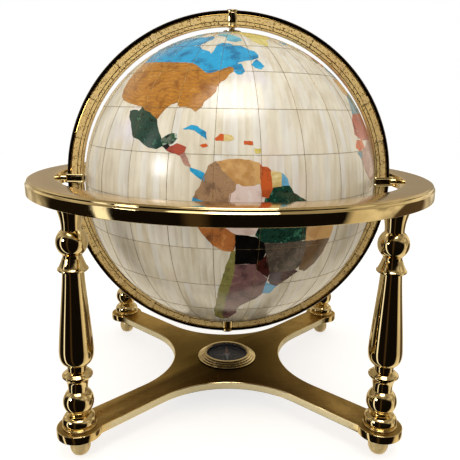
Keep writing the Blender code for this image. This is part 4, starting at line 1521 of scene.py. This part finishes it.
# %% Stones
def hue(text):
    """A colour written as in paint charts, six hexadecimal digits, as linear light."""
    parts = [int(text[i:i + 2], 16) / 255 for i in (0, 2, 4)]
    return tuple(v / 12.92 if v < 0.04045 else ((v + 0.055) / 1.055) ** 2.4 for v in parts)


def stone(name, kind, light, middle, dark, size=60.0):
    """A polished slice.  Size is how many blotches fit along a metre."""
    cut = Finish(name, Coat_Weight=0.5, Coat_Roughness=0.14)
    at = cut.place(centre=PIVOT)
    warp = cut.node("ShaderNodeTexNoise", None, {"Vector": at, "Scale": size * 0.5, "Detail": 3.0})["Color"]
    bent = cut.node("ShaderNodeVectorMath", {"operation": "SCALE"}, {0: warp, "Scale": 0.9 / size})["Vector"]
    bent = cut.vector_math("ADD", at, bent)
    cloud = cut.noise(bent, size, 6.0, 0.62)
    tone = cut.blend(cloud.smooth(0.30, 0.70), hue(dark), hue(light))
    tone = cut.blend(cloud.smooth(0.42, 0.52) * (1 - cloud.smooth(0.56, 0.66)), tone, hue(middle))
    relief = cloud
    if kind == "banded":
        settings = {"bands_direction": "Z"}
        inputs = {"Vector": bent, "Scale": size * 1.3, "Distortion": 9.0, "Detail": 3.0, "Detail Scale": 1.5}
        relief = cut.node("ShaderNodeTexWave", settings, inputs)["Fac"]
        tone = cut.blend(relief.smooth(0.35, 0.75) * 0.45, tone, hue(dark))
    elif kind == "speckled":
        relief = cut.cells(bent, size * 9.0)
        specks = 1 - relief.smooth(0.10, 0.34)
        tone = cut.blend(specks * cloud.smooth(0.35, 0.60) * 0.85, tone, hue(dark))
    elif kind == "veined":
        relief = cut.cells(bent, size * 1.4, "DISTANCE_TO_EDGE")
        vein = 1 - relief.smooth(0.0, 0.07)
        tone = cut.blend(vein * 0.7, tone, hue(middle))
    cut.feed(Base_Color=tone)
    cut.feed(Roughness=relief * 0.14 + 0.14)
    cut.bump(relief, 0.02 * MM)
    return cut.material


STONES = {
    # kind, light, middle and dark colour, blotches along a metre
    "turquoise": ("cloudy", "45b8e0", "249fce", "12719f", 70),
    "sky_jasper": ("cloudy", "86cfd8", "5ab9cc", "3d93ae", 60),
    "tiger_eye": ("banded", "cf9440", "bb7d2c", "8f5518", 75),
    "malachite": ("veined", "3d7a5e", "12352a", "020806", 130),
    "moss_agate": ("veined", "c9d3c0", "2c5239", "12291b", 120),
    "coral": ("banded", "d0714f", "bb5238", "93362a", 90),
    "carnelian": ("cloudy", "e07a3c", "d05c22", "a53d14", 70),
    "picture_jasper": ("speckled", "c09c76", "a98460", "75563f", 60),
    "sandstone": ("cloudy", "e3bd85", "d6a768", "bd8848", 55),
    "leopard_jasper": ("speckled", "d08a4c", "b96f35", "6e3c1b", 70),
    "white_shell": ("cloudy", "efe2da", "e6cfc4", "d0b3a6", 50),
    "cream_onyx": ("banded", "f0dfa6", "e3cb86", "c9a860", 60),
    "yellow_calcite": ("cloudy", "ece08e", "dccb6e", "bfaa4c", 50),
    "blue_calcite": ("cloudy", "8fc3de", "6aaed0", "4689b0", 60),
    "black_onyx": ("cloudy", "16120f", "0c0a09", "040303", 60),
    "mahogany": ("speckled", "5a231a", "41160f", "1d0906", 80),
    "grey_agate": ("veined", "857564", "4d443a", "5a4c40", 70),
    "brown_agate": ("cloudy", "86694c", "705338", "4b3523", 60),
    "rose_quartz": ("veined", "937068", "7a5856", "4c3236", 90),
    "amethyst": ("veined", "664d52", "4b3640", "241820", 90),
    "serpentine": ("banded", "a7a263", "8d8748", "6a6433", 90),
    "pink_marble": ("banded", "cfa794", "bd8f7d", "9a6c5e", 60),
    "grey_blue_jasper": ("banded", "8fb0b6", "6f959e", "4f727c", 70),
}
STONE = {name: stone(name, *values) for name, values in STONES.items()}
print("stones", len(STONE))

# %% [markdown]
# ### The lands
# Outlines are lists of (degrees east, degrees north), with only the points that the shape
# of a land needs.  The Americas face the front, so they are drawn from the front line of
# the globe; the other lands keep their usual longitudes and are turned by FRONT_LONGITUDE.

# %% Outlines of the Americas, counted from the front line
AMERICAS = {
    "canada": ("turquoise", (
        (-60, 50.3), (-61.5, 52.5), (-64, 55), (-67, 58.5), (-71, 60.5), (-73, 64), (-73, 69.5),
        (-66, 69.6), (-58, 70), (-50, 69.5), (-46, 68.5), (-40, 68), (-34, 68.5), (-28, 68), (-23, 69.5),
        (-19.5, 68.5), (-18, 66.8), (-19.5, 64.8), (-22, 63), (-24.6, 60.7), (-24, 59), (-21, 57),
        (-17.5, 56), (-15, 55.2), (-14.2, 53.8), (-13, 54.6), (-12.2, 57.5), (-11.6, 60.4), (-9, 61.8),
        (-4, 61.4), (-1.5, 60.3), (1, 59.6), (4, 59.6), (7, 58), (9, 56.6), (11.4, 56), (12.8, 53.6),
        (12.2, 52), (9, 50.9), (5, 50.4), (1.6, 49.4), (0.6, 48.2), (2.6, 48.6), (3.2, 46.8), (4, 44.8),
        (2.6, 43.6), (0.4, 43.8), (-0.9, 45), (-0.9, 46.5), (-3, 47), (-5, 46.3), (-8, 45), (-10, 44.2),
        (-12.6, 43.9), (-14.6, 44.8), (-17, 46.3), (-19, 47.7), (-22, 48.8), (-30, 49.3), (-40, 49.7),
        (-50, 50.1))),
    "newfoundland": ("turquoise", (
        (8, 48.2), (9.6, 49.8), (11.4, 51), (12.8, 49.4), (14, 47.6), (12.2, 46.2), (9.6, 46.8))),
    "baffin": ("sky_jasper", (
        (-20, 73.4), (-9, 73.2), (-1, 70.4), (5, 67), (5.6, 64.6), (0.4, 63), (-5.6, 64.4), (-5.4, 67),
        (-10, 69.4), (-17, 70.8))),
    "victoria_island": ("sky_jasper", (
        (-50, 73.4), (-38, 73.2), (-36.6, 70.4), (-46, 69.8), (-51, 71.4))),
    "north_islands": ("blue_calcite", (
        (-22, 76.6), (-24, 79.4), (-12, 82.6), (4, 82.2), (-3, 79.4), (-8, 76.8))),
    "greenland": ("yellow_calcite", (
        (23.4, 60.2), (19, 61.8), (15.4, 64.4), (13.8, 68.6), (11.6, 71.2), (7, 75), (-2, 76.6),
        (-3.6, 78.4), (6, 81), (28, 83.2), (50, 82), (50.6, 78), (48, 74), (44, 70.6), (35, 68.2),
        (29, 65.8), (26, 62.6))),
    "alaska": ("tiger_eye", (
        (-73.2, 60.6), (-73.2, 69.4), (-88, 71), (-98, 68), (-95, 65.4), (-98, 62.6), (-93, 60),
        (-89, 58.6), (-96, 56), (-85, 59.4), (-80, 60.6))),
    "united_states": ("tiger_eye", (
        (-60.2, 50), (-50, 49.9), (-40, 49.5), (-30, 49.1), (-22, 48.6), (-19, 47.4), (-17, 46),
        (-14.6, 44.5), (-12.6, 43.6), (-10, 43.9), (-8, 44.7), (-5, 46), (-3, 46.8), (-1.1, 46.2),
        (-1.4, 44.6), (-3.4, 43.2), (-4.4, 41.4), (-6.4, 40.3), (-7.6, 38.4), (-8, 36.2), (-9.8, 34.2),
        (-12.2, 32), (-12.8, 30.4), (-14.6, 28.9), (-16.4, 30.1), (-18.4, 30.6), (-21, 30.5),
        (-22.2, 32.1), (-24.6, 31.4), (-26.8, 29.4), (-28.4, 27), (-29, 25.8), (-31, 27.1), (-33, 28.4),
        (-35.6, 28.9), (-37.2, 30.2), (-42, 31), (-46, 31.7), (-50, 32.5), (-54, 34), (-57, 37),
        (-59, 41), (-60.2, 45))),
    "mexico": ("malachite", (
        (-43.2, 28.4), (-41, 28.8), (-38.4, 28.4), (-37.4, 29.9), (-35.6, 28.7), (-33, 28.1), (-31, 26.8),
        (-28.9, 25.5), (-28.2, 23.6), (-27, 21.4), (-25.6, 19.4), (-24.9, 17.2), (-26.6, 16.3),
        (-30, 16.6), (-32.6, 17.8), (-34.6, 19), (-37.4, 19.6), (-38.6, 21.6), (-40.4, 24.6),
        (-42.4, 26.6))),
    "yucatan": ("moss_agate", (
        (-25.4, 19.2), (-23.8, 20.3), (-21.6, 21.2), (-20.2, 21.1), (-19.9, 19.8), (-21.4, 18),
        (-24.6, 17.4))),
    "guatemala": ("black_onyx", ((-24.7, 17.1), (-22.9, 17.9), (-22.1, 17), (-23.2, 16.2))),
    "honduras": ("coral", (
        (-22.9, 15.9), (-21.9, 16.9), (-19.6, 18), (-16.4, 17), (-16.7, 15.9), (-18.4, 14.6),
        (-21, 15.3))),
    "costa_rica": ("pink_marble", ((-18, 14.4), (-16.6, 15.4), (-15.2, 12.4), (-14.4, 11), (-16, 11.6))),
    "panama": ("turquoise", (
        (-14.4, 10.8), (-12, 10), (-9.6, 8.9), (-9.9, 6.9), (-12, 8.3), (-14.2, 9.9))),
    "cuba": ("turquoise", (
        (-18, 22.9), (-15.4, 24), (-13.2, 23.7), (-10.2, 21.9), (-9.7, 19.7), (-11.4, 21), (-14, 22.7))),
    "jamaica": ("carnelian", ((-11.6, 17.8), (-9.8, 18.2), (-9.2, 17.7), (-10.8, 17.3))),
    "haiti": ("carnelian", ((-6.8, 20), (-5.2, 21.4), (-4.1, 21.3), (-4.1, 19.4), (-6.4, 19.5))),
    "dominica": ("cream_onyx", ((-4, 21.3), (-1.6, 20.9), (-0.8, 20.1), (-2, 19.5), (-4, 19.4))),
    "puerto_rico": ("carnelian", ((2.6, 19.3), (5.2, 19.1), (5.3, 18.3), (2.7, 18.4))),
    "trinidad": ("yellow_calcite", ((5.9, 17), (8, 16.9), (7.6, 15.7), (6.1, 15.8))),
    "colombia": ("picture_jasper", (
        (-10.9, 5.2), (-9.7, 8.6), (-8.6, 11.4), (-6.4, 12.9), (-5.2, 11.8), (-4.4, 10.2), (-2.2, 8.4),
        (0, 6.3), (-0.2, 4.6), (-1.6, 3.4), (-2, 0), (-3, -1.5), (-7.4, -0.8), (-10, 0.8), (-13, 1.8),
        (-12.3, 3.6))),
    "venezuela": ("sandstone", (
        (-6, 12.9), (-3, 13.4), (0.4, 13.7), (4, 13.4), (7.2, 12.6), (7.8, 10), (7.6, 6.5), (5.5, 5.9),
        (3, 5.7), (0.1, 6.5), (-2, 8.6), (-4.2, 10.4), (-5, 12))),
    "guyana": ("carnelian", (
        (7.4, 12.4), (8, 11.4), (9.8, 11.2), (11, 10), (11.4, 5), (10, 2), (8.1, 2.5), (7.8, 6))),
    "surinam": ("cream_onyx", ((11.1, 10), (14.3, 9.4), (14.3, 5.5), (11.5, 5.2))),
    "guiana": ("blue_calcite", ((14.5, 9.4), (16.3, 7.6), (16.9, 5.6), (14.5, 5.5))),
    "amazon": ("white_shell", (
        (-1.6, 3.2), (0, 4.4), (0.2, 5.8), (3, 5.5), (7.5, 5.6), (7.9, 2.4), (9, 1.4), (8.2, -6),
        (6.2, -9.4), (3.8, -10), (0.2, -9.6), (-3, -7.6), (-5.8, -4.6), (-3.2, -1.7), (-1.9, 0.2))),
    "north_brazil": ("malachite", (
        (9.2, 1.6), (10.1, 1.8), (11.6, 4.9), (14.4, 5.2), (17, 5.3), (18.5, 3), (21, 1.5), (24, 0),
        (24.2, -6), (24.2, -12.6), (18, -13), (12, -12.7), (9.4, -12.6), (6.6, -10), (8.5, -6))),
    "east_brazil": ("sandstone", (
        (24.2, 0), (28, -2.6), (32, -4.6), (34.6, -7), (35.6, -9.5), (35, -13), (24.4, -13))),
    "south_east_brazil": ("brown_agate", (
        (24.9, -13.3), (34.8, -13.3), (33.6, -18), (31, -22.6), (27.6, -25.4), (25, -24.2))),
    "mid_brazil": ("grey_agate", (
        (9.8, -12.9), (18, -13.2), (24.7, -13.1), (24.8, -22), (23, -24), (19.4, -24.4), (13.2, -24.2),
        (11.6, -20), (10.6, -16))),
    "south_brazil": ("amethyst", (
        (13.3, -24.6), (19.4, -24.7), (23, -24.3), (24.6, -25.2), (20.4, -28.4), (17.6, -31),
        (15.2, -30.2), (13.4, -28))),
    "uruguay": ("blue_calcite", (
        (12.6, -28.8), (15, -30.4), (17.4, -31.3), (15.6, -34.6), (12.4, -34.4))),
    "ecuador": ("turquoise", (
        (-13.2, 1.7), (-10.2, 0.7), (-9.2, -0.5), (-10.6, -2.6), (-12.6, -3.4), (-13.8, -1))),
    "peru": ("leopard_jasper", (
        (-12.6, -3.6), (-10.4, -2.8), (-7.6, -1), (-3.4, -1.8), (-6, -4.6), (-3.2, -7.8), (0, -9.8),
        (0, -13.4), (-0.6, -15.6), (-4, -15.2), (-7, -13.6), (-9.4, -10.6), (-11.6, -7.6), (-13, -5.6))),
    "bolivia": ("black_onyx", (
        (0.3, -9.9), (4, -10.3), (6.6, -10.8), (9.4, -12.9), (10.4, -16), (9.8, -18.6), (7.6, -20.4),
        (0.4, -20.4))),
    "paraguay": ("mahogany", (
        (7.8, -20.5), (9.9, -18.8), (10.8, -17), (11.5, -20.2), (13, -24.2), (12.8, -26.6), (10.4, -24.6),
        (8.2, -22.6))),
    "argentina": ("rose_quartz", (
        (0.5, -20.7), (7.5, -20.7), (8, -22.9), (10.2, -25), (12.6, -27.2), (12.2, -30), (12.2, -34.6),
        (10.4, -37), (8, -38.6), (5.6, -40.4), (3.4, -42.4), (2.2, -45), (2.4, -48), (0.4, -51),
        (-1.6, -54.4), (-5.2, -52), (-4.2, -46), (-3.1, -40), (-1.7, -34), (-0.8, -29), (0, -25))),
    "chile": ("serpentine", (
        (-0.9, -15.8), (0.2, -15.6), (0.3, -20.8), (-0.2, -25), (-1, -29), (-1.9, -34), (-3.3, -40),
        (-4.4, -46), (-5.4, -52), (-2, -55), (-5, -55.6), (-9, -52.6), (-8.6, -46), (-6.8, -40),
        (-5.5, -33), (-4, -27), (-2.5, -21))),
}
print("American lands", len(AMERICAS))

# %% Outlines of the other lands, by their usual longitudes
OTHER_LANDS = {
    "iceland": ("blue_calcite", (
        (-24, 65.4), (-20, 66.2), (-14.6, 65.4), (-15.6, 64.2), (-19.4, 63.4), (-22.6, 64))),
    "british_isles": ("coral", (
        (-5.4, 50.1), (-3, 53.4), (-5, 55.4), (-5.6, 58.4), (-2, 57.6), (-1.6, 55), (1.6, 52.6),
        (0.8, 50.9))),
    "ireland": ("malachite", ((-10, 51.8), (-10, 54), (-7.6, 55.2), (-6, 53.8), (-6.6, 52.2))),
    "iberia": ("sandstone", (
        (-9.2, 38.6), (-8.8, 43.2), (-1.8, 43.4), (3, 42.3), (0, 39.6), (-0.8, 37.6), (-5.4, 36.2),
        (-8.8, 37.1))),
    "france": ("turquoise", (
        (-1.6, 43.6), (-1.2, 46), (-4.4, 48.2), (-1.4, 49.2), (2.4, 51), (8, 49), (7, 46.4), (7.4, 43.8),
        (3.2, 42.7))),
    "scandinavia": ("grey_blue_jasper", (
        (5.4, 59), (5.4, 62), (12, 66), (17, 69.2), (25, 71), (29.6, 69.8), (24.6, 65.8), (17.4, 61.6),
        (18.6, 59.8), (13, 55.5), (10.6, 59), (8, 58.1))),
    "middle_europe": ("leopard_jasper", (
        (3, 51.4), (8.6, 54.8), (10.8, 54.2), (18.6, 54.8), (23.6, 54), (24, 50), (29, 46), (28, 43.6),
        (23.6, 42), (19.4, 42.2), (13.8, 45.6), (8.8, 44.4), (7.2, 46.2), (8.2, 49.2))),
    "italy": ("white_shell", (
        (8.8, 44.2), (13.6, 45.4), (12.6, 43.8), (18.4, 40.2), (16, 38), (13.6, 41), (10.4, 43))),
    "balkans": ("carnelian", (
        (19.6, 42), (23.6, 41.8), (26.4, 41.4), (23.2, 39.4), (23, 36.6), (20.6, 38.4))),
    "east_europe": ("yellow_calcite", (
        (24.2, 54), (28, 59.6), (29, 62), (31, 69.4), (41, 66.6), (45, 68.2), (60, 69), (60, 52),
        (50, 46), (39, 47), (30, 46.4), (24.4, 50.2))),
    "siberia": ("amethyst", (
        (60.3, 52), (60.3, 69), (70, 73), (86, 74), (104, 77.4), (128, 73), (160, 70), (179, 69),
        (178, 63), (163, 59.6), (157, 51.4), (156, 57), (143, 59), (138, 54), (131, 43), (127, 50),
        (116, 49.6), (98, 50.4), (84, 50.4), (70, 54.6))),
    "kazakh_steppe": ("picture_jasper", (
        (50.3, 46), (60.4, 51.8), (70, 54.3), (84, 50.1), (82, 45.2), (74, 42.4), (66, 41), (56, 41.4),
        (53, 45))),
    "turkey": ("coral", (
        (26.4, 39), (29, 41.2), (36, 41.8), (44, 41), (44, 37.2), (36, 36.4), (28, 36.8))),
    "persia": ("malachite", (
        (44.4, 39.4), (53.6, 37.2), (61, 36.4), (61.6, 25.4), (57, 27), (51, 28.4), (48.4, 30.2),
        (45.6, 34.4))),
    "arabia": ("yellow_calcite", (
        (35, 28), (36.4, 34), (45.2, 34), (48, 30), (51.4, 24.6), (56.2, 24.8), (59.6, 22.4), (52, 15.8),
        (44, 12.8), (42.4, 16.4), (39, 21))),
    "north_west_africa": ("grey_blue_jasper", (
        (-12, 28.4), (-9.8, 31.4), (-6, 35.7), (3, 36.8), (10, 37.1), (10.4, 33.6), (9, 30), (8, 28.6))),
    "west_sahara": ("coral", (
        (-16.8, 21), (-15.2, 25.4), (-12, 28.1), (8, 28.3), (9, 24), (4, 19.4), (-4, 18.6),
        (-11.6, 18.9))),
    "senegal": ("carnelian", ((-18.4, 16.5), (-16.6, 18.7), (-11.8, 18.6), (-10.8, 16), (-16, 15.1))),
    "guinea": ("grey_blue_jasper", ((-18, 14.6), (-15, 14.9), (-14, 13.4), (-15.8, 12.6))),
    "west_africa": ("pink_marble", (
        (-15.6, 12.4), (-13.8, 13.2), (-14.6, 14.8), (-10.6, 15.7), (-4, 18.3), (4, 19.1), (9, 13),
        (9.2, 4.7), (4.4, 6.2), (-2, 4.8), (-8, 4.4), (-12.6, 7.6))),
    "libya": ("cream_onyx", (
        (9.3, 30), (10.8, 33.4), (19, 30.6), (24.8, 32), (24.8, 22), (16, 23), (9.4, 24))),
    "egypt": ("sandstone", (
        (25.1, 31.8), (31, 31.4), (34.2, 31.2), (32.8, 28.6), (36.8, 22), (25.1, 22))),
    "sudan": ("leopard_jasper", (
        (16.2, 22.7), (25, 21.7), (36.8, 21.7), (38.6, 17.4), (34, 9.4), (26, 8.4), (15.6, 12))),
    "niger": ("brown_agate", ((4.4, 19.2), (9.4, 23.6), (16, 22.6), (15.4, 12.4), (9.4, 13))),
    "horn_of_africa": ("turquoise", (
        (34.3, 9.2), (38.8, 17), (43, 12), (51.2, 11.8), (47, 4.2), (41.6, -1.8), (34.2, 4.4))),
    "congo": ("malachite", (
        (9.5, 12.6), (15.4, 11.8), (26, 8), (30.6, 3.4), (29.4, -4), (30, -11.8), (22, -11), (12.6, -5.4),
        (9.5, 1), (9.5, 4.8))),
    "east_africa": ("coral", (
        (31, 3.4), (34, 4), (41.4, -2.2), (39, -6), (40.6, -14.8), (34.8, -20), (33, -14), (30.3, -11.8),
        (29.8, -4))),
    "angola": ("serpentine", ((12.4, -5.8), (21.8, -11.3), (22, -17.6), (11.8, -17.2), (13.6, -11))),
    "zambia": ("rose_quartz", (
        (22.3, -11.4), (30, -12.1), (32.7, -14), (34.4, -20), (32.8, -25.6), (26, -22), (22.3, -17.8))),
    "south_africa": ("tiger_eye", (
        (11.9, -17.5), (21.9, -17.9), (25.6, -22), (32.6, -25.9), (30.4, -31), (25.6, -34), (19.6, -34.8),
        (17, -29), (14.4, -22.4))),
    "madagascar": ("carnelian", (
        (44, -16.4), (49.4, -12.2), (50.4, -15.8), (47.2, -24.8), (44, -25), (43.6, -21.4))),
    "hindu_kush": ("rose_quartz", (
        (61.3, 36.2), (66, 38), (74.4, 37), (74.8, 34), (70.4, 27.8), (67, 24.6), (61.9, 25.4))),
    "india": ("carnelian", (
        (67.4, 24.3), (70.8, 27.6), (75, 33.8), (78.6, 31), (88, 27.6), (92, 26), (88.6, 21.8),
        (82.4, 16.6), (80, 12.6), (77.6, 8.2), (74.4, 13), (72.8, 20))),
    "ceylon": ("malachite", ((79.8, 8.4), (80.6, 9.6), (81.8, 7.4), (80.4, 6))),
    "china": ("cream_onyx", (
        (74.7, 37.2), (82.4, 45), (88, 48), (96, 42.8), (110, 42.4), (119, 47), (130.6, 45), (124, 40),
        (121.4, 37), (121.6, 30), (117, 23.6), (108.4, 21.6), (98.4, 24), (97, 28), (88.2, 27.9),
        (79, 31.4), (75.2, 34.4))),
    "mongolia": ("pink_marble", (
        (88.3, 48.3), (98, 50.1), (116, 49.3), (118.6, 47.3), (110, 42.7), (96, 43.1))),
    "korea": ("turquoise", (
        (124.4, 39.8), (130, 42.4), (127.6, 39), (129.4, 36), (126.6, 34.4), (125, 37.8))),
    "japan": ("coral", (
        (130.4, 31.4), (130.6, 33.8), (136, 35.8), (139.6, 38), (140.6, 42), (142, 45.4), (145, 43.4),
        (141.6, 41), (141, 37.6), (140, 35.4), (135.4, 33.8))),
    "indochina": ("malachite", (
        (92.4, 25.8), (97, 27.7), (98.2, 23.7), (108.2, 21.3), (106, 18), (109, 13), (105, 8.8),
        (101, 13), (103, 4), (103.6, 1.6), (100.4, 6), (98.6, 10), (97.6, 16), (94.4, 16))),
    "sumatra": ("carnelian", (
        (95.4, 5.6), (98.6, 3.8), (104, -1), (106, -5.8), (102.4, -4.4), (98.6, 1))),
    "java": ("turquoise", ((105.4, -6.4), (110.6, -6.6), (114.4, -7.8), (114.4, -8.6), (108, -7.8))),
    "borneo": ("picture_jasper", (
        (109, 1.4), (113, 3.2), (117, 7), (119, 5), (117.6, 1), (116, -3.8), (111, -3.2), (109.2, -0.6))),
    "celebes": ("coral", (
        (119, -3.4), (119.8, 0.4), (124.8, 1.4), (121, -0.8), (123, -4.2), (120.4, -5.4))),
    "philippines": ("yellow_calcite", (
        (120.4, 18.4), (122.2, 18), (121.6, 14.2), (124.8, 12.4), (126.4, 7.6), (123.6, 7), (122, 11),
        (119.8, 15.4))),
    "new_guinea": ("malachite", (
        (131, -0.8), (135, -3.2), (141, -2.6), (147, -6), (150.6, -10.4), (145.6, -8.4), (141, -9),
        (138, -8.2), (133.4, -4))),
    "west_australia": ("tiger_eye", (
        (114, -22), (122, -18), (126.6, -14), (128.8, -15), (128.8, -31.8), (124, -33.6), (118, -35),
        (115, -34), (115.6, -30))),
    "north_australia": ("coral", (
        (129.1, -14.8), (132, -11.4), (136.8, -12.4), (137.8, -16.4), (137.8, -25.8), (129.1, -25.8))),
    "south_australia": ("cream_onyx", (
        (129.1, -26.1), (140.8, -26.1), (140.8, -37.8), (137, -35.4), (135.6, -34.8), (132, -32),
        (129.1, -31.6))),
    "east_australia": ("sandstone", (
        (138.1, -16.6), (141, -17.4), (142.4, -10.8), (146, -18.8), (153, -25.4), (153, -31),
        (150, -37.4), (144.6, -38.6), (141.1, -38), (141.1, -25.8), (138.1, -25.8))),
    "tasmania": ("malachite", ((144.8, -40.8), (148.2, -41), (147.6, -43.4), (145.8, -43))),
    "new_zealand_north": ("turquoise", (
        (173, -34.6), (175.6, -36.8), (178.2, -37.8), (176.6, -40.8), (174.8, -41.2), (174.2, -38.6))),
    "new_zealand_south": ("turquoise", (
        (172.8, -40.7), (174.2, -41.8), (171, -44.6), (168.8, -46.5), (166.6, -45.8), (170.4, -42.8))),
    "antarctica": ("white_shell", tuple(
        (-180 + 12 * i, -70 - 3.0 * math.sin(i * 2.1) - 2.0 * math.cos(i * 1.3)) for i in range(30))),
}
print("other lands", len(OTHER_LANDS))

# %% [markdown]
# A slice has to follow the ball, so an outline alone isn't enough: points a few degrees
# apart are sown inside it, and a constrained triangulation joins them without crossing the
# edge.  The work is done flat, on a map centred on the land, and then wrapped on the ball.
# Coasts get small seeded wiggles between the given points.  Each sheet then gets its
# thickness, inward, with a wall along its edge.  Neighbours overlap by a hair, so each is
# ground to one of a few levels, which keeps most of those that overlap apart.

# %% Cutting a land from a slice
LAND_R = GLOBE_R - 0.12 * MM
LAND_T = 0.6 * MM
LAND_SHARP_DEG = 30
SOW_DEG = 3.0
ROW_SHARE = 0.87  # rows of sown points stand this much of a step apart
COAST_STEP_DEG = 1.1
COAST_WANDER_DEG = 0.16
NEIGHBOUR_LAP_DEG = 0.22
SAME_PLACE_DEG = 1e-6
SHARPEST = 0.2  # two unit edges that add up to less than this make a spike
LEVELS = 6
LEVEL_UP = 0.015 * MM


def on_ball(east, north):
    """Direction from the globe's centre, counted in degrees from the front line."""
    a, b = math.radians(east), math.radians(north)
    return Vector((math.cos(b) * math.sin(a), -math.cos(b) * math.cos(a), math.sin(b)))


def wiggled(points, rng, amount):
    """Breaks each straight coast into short steps that wander a little."""
    made = []
    for one, other in zip(points, points[1:] + points[:1]):
        steps = max(1, round((other - one).length / COAST_STEP_DEG))
        across = Vector((one.y - other.y, other.x - one.x)).normalized()
        for i in range(steps):
            drift = rng.uniform(-amount, amount) if i else 0.0
            made.append(one + (other - one) * i / steps + across * drift)
    return made


def widened(points, amount):
    """Moves a closed outline outward, so that neighbours meet with no gap.  The sharpest
    corners stay."""
    turning = sum(one.cross(other) for one, other in zip(points, points[1:] + points[:1]))
    amount *= 1 if turning > 0 else -1
    made = []
    for before, here, after in zip(points[-1:] + points[:-1], points, points[1:] + points[:1]):
        along = (here - before).normalized() + (after - here).normalized()
        if along.length < SHARPEST:
            made.append(here)
        else:
            along.normalize()
            made.append(here + Vector((along.y, -along.x)) * amount)
    return made


def thick_slice(shape):
    """Gives a sheet its thickness, inward, with a wall along its edge."""
    shape.normal_update()
    upper = list(shape.verts)
    edges = [e for e in shape.edges if len(e.link_faces) == 1]
    lower = {v: shape.verts.new(PIVOT + (v.co - PIVOT) * (1 - LAND_T / LAND_R)) for v in upper}
    for face in list(shape.faces):
        shape.faces.new([lower[v] for v in reversed(face.verts)])
    for edge in edges:
        face = edge.link_faces[0]
        loop = next(one for one in face.loops if one.edge == edge)
        a, b = loop.vert, loop.link_loop_next.vert
        shape.faces.new((b, a, lower[a], lower[b]))
    return shape


def cut_land(outline_points, shift, rng, radius):
    """Closed slice of one land."""
    ways = [on_ball(east + shift, north) for east, north in outline_points]
    centre = sum(ways, Vector()).normalized()
    turned = centre.to_track_quat("Z", "Y").to_matrix()
    flat_points = []
    for way in ways:
        local = turned.transposed() @ way
        flat_points.append(local.xy.normalized() * math.degrees(local.angle((0, 0, 1))))
    coast = wiggled(widened(flat_points, NEIGHBOUR_LAP_DEG), rng, COAST_WANDER_DEG)
    reach = max(p.length for p in coast)
    sown = []
    count = int(reach / SOW_DEG) + 1
    for i in range(-count, count + 1):
        for j in range(-count, count + 1):
            p = Vector((i + 0.5 * (j % 2), j * ROW_SHARE)) * SOW_DEG
            if min((p - c).length for c in coast) > 0.5 * SOW_DEG:
                sown.append(p)
    ring = [(i, (i + 1) % len(coast)) for i in range(len(coast))]
    made = delaunay_2d_cdt(coast + sown, ring, [], 1, SAME_PLACE_DEG)
    shape = bmesh.new()
    verts = []
    for p in made[0]:
        angle = math.radians(p.length)
        side = p.normalized() * math.sin(angle) if p.length else Vector((0, 0))
        way = turned @ Vector((side.x, side.y, math.cos(angle)))
        verts.append(shape.verts.new(PIVOT + way * radius))
    for loop in made[2]:
        shape.faces.new([verts[i] for i in loop])
    loose = [v for v in shape.verts if not v.link_faces]
    bmesh.ops.delete(shape, geom=loose, context="VERTS")
    shape.faces.ensure_lookup_table()
    if sum(f.normal.dot(f.calc_center_median() - PIVOT) for f in shape.faces) < 0:
        bmesh.ops.reverse_faces(shape, faces=shape.faces)
    return thick_slice(shape)


# %% The lands of the globe
BUSH_DRILL_REACH = GLOBE_R + 5 * MM
rng = random.Random(7)
faces = 0
count = 0
for lands, shift in ((AMERICAS, 0.0), (OTHER_LANDS, -FRONT_LONGITUDE)):
    for land, (kind, outline_points) in lands.items():
        level = LAND_R + LEVEL_UP * (count % LEVELS)
        shape = cut_land(outline_points, shift, rng, level)
        piece = mesh_object(f"stone_{land}", shape, STONE[kind], LAND_SHARP_DEG)
        if land == "antarctica":
            drilled(piece, BUSH_HOLE_R, BUSH_DRILL_REACH, PIVOT)
        ridden(piece, "globe")
        count += 1
        faces += len(piece.data.polygons)
print("lands", count, "faces", faces)

# %% [markdown]
# ## What is left of the model
# The tie rods and the band inside the globe keep the model's own shapes, since they are
# out of sight.  They still get a finish of their own.

# %% Hidden pieces
RESIN = mottled(
    "cast_resin", scale=30.0, detail=5.0, spread=(0.35, 0.7), tones=((0.68, 0.63, 0.54), (0.56, 0.50, 0.40)),
    rough=(0.45, 0.65), relief=0.1 * MM, Subsurface_Weight=0.1,
)
kept = {"joining_band": RESIN}
kept.update({f"tie_rod_{corner}": STEEL for corner, _, _ in CORNERS})
for node, material in kept.items():
    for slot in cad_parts[node].material_slots:
        slot.material = material
pieces = [o for o in bpy.context.scene.objects if o.type == "MESH" and not o.hide_render]
triangles = sum(len(p.vertices) - 2 for o in pieces for p in o.data.polygons)
print("pieces with the floor", len(pieces), "triangles", triangles)
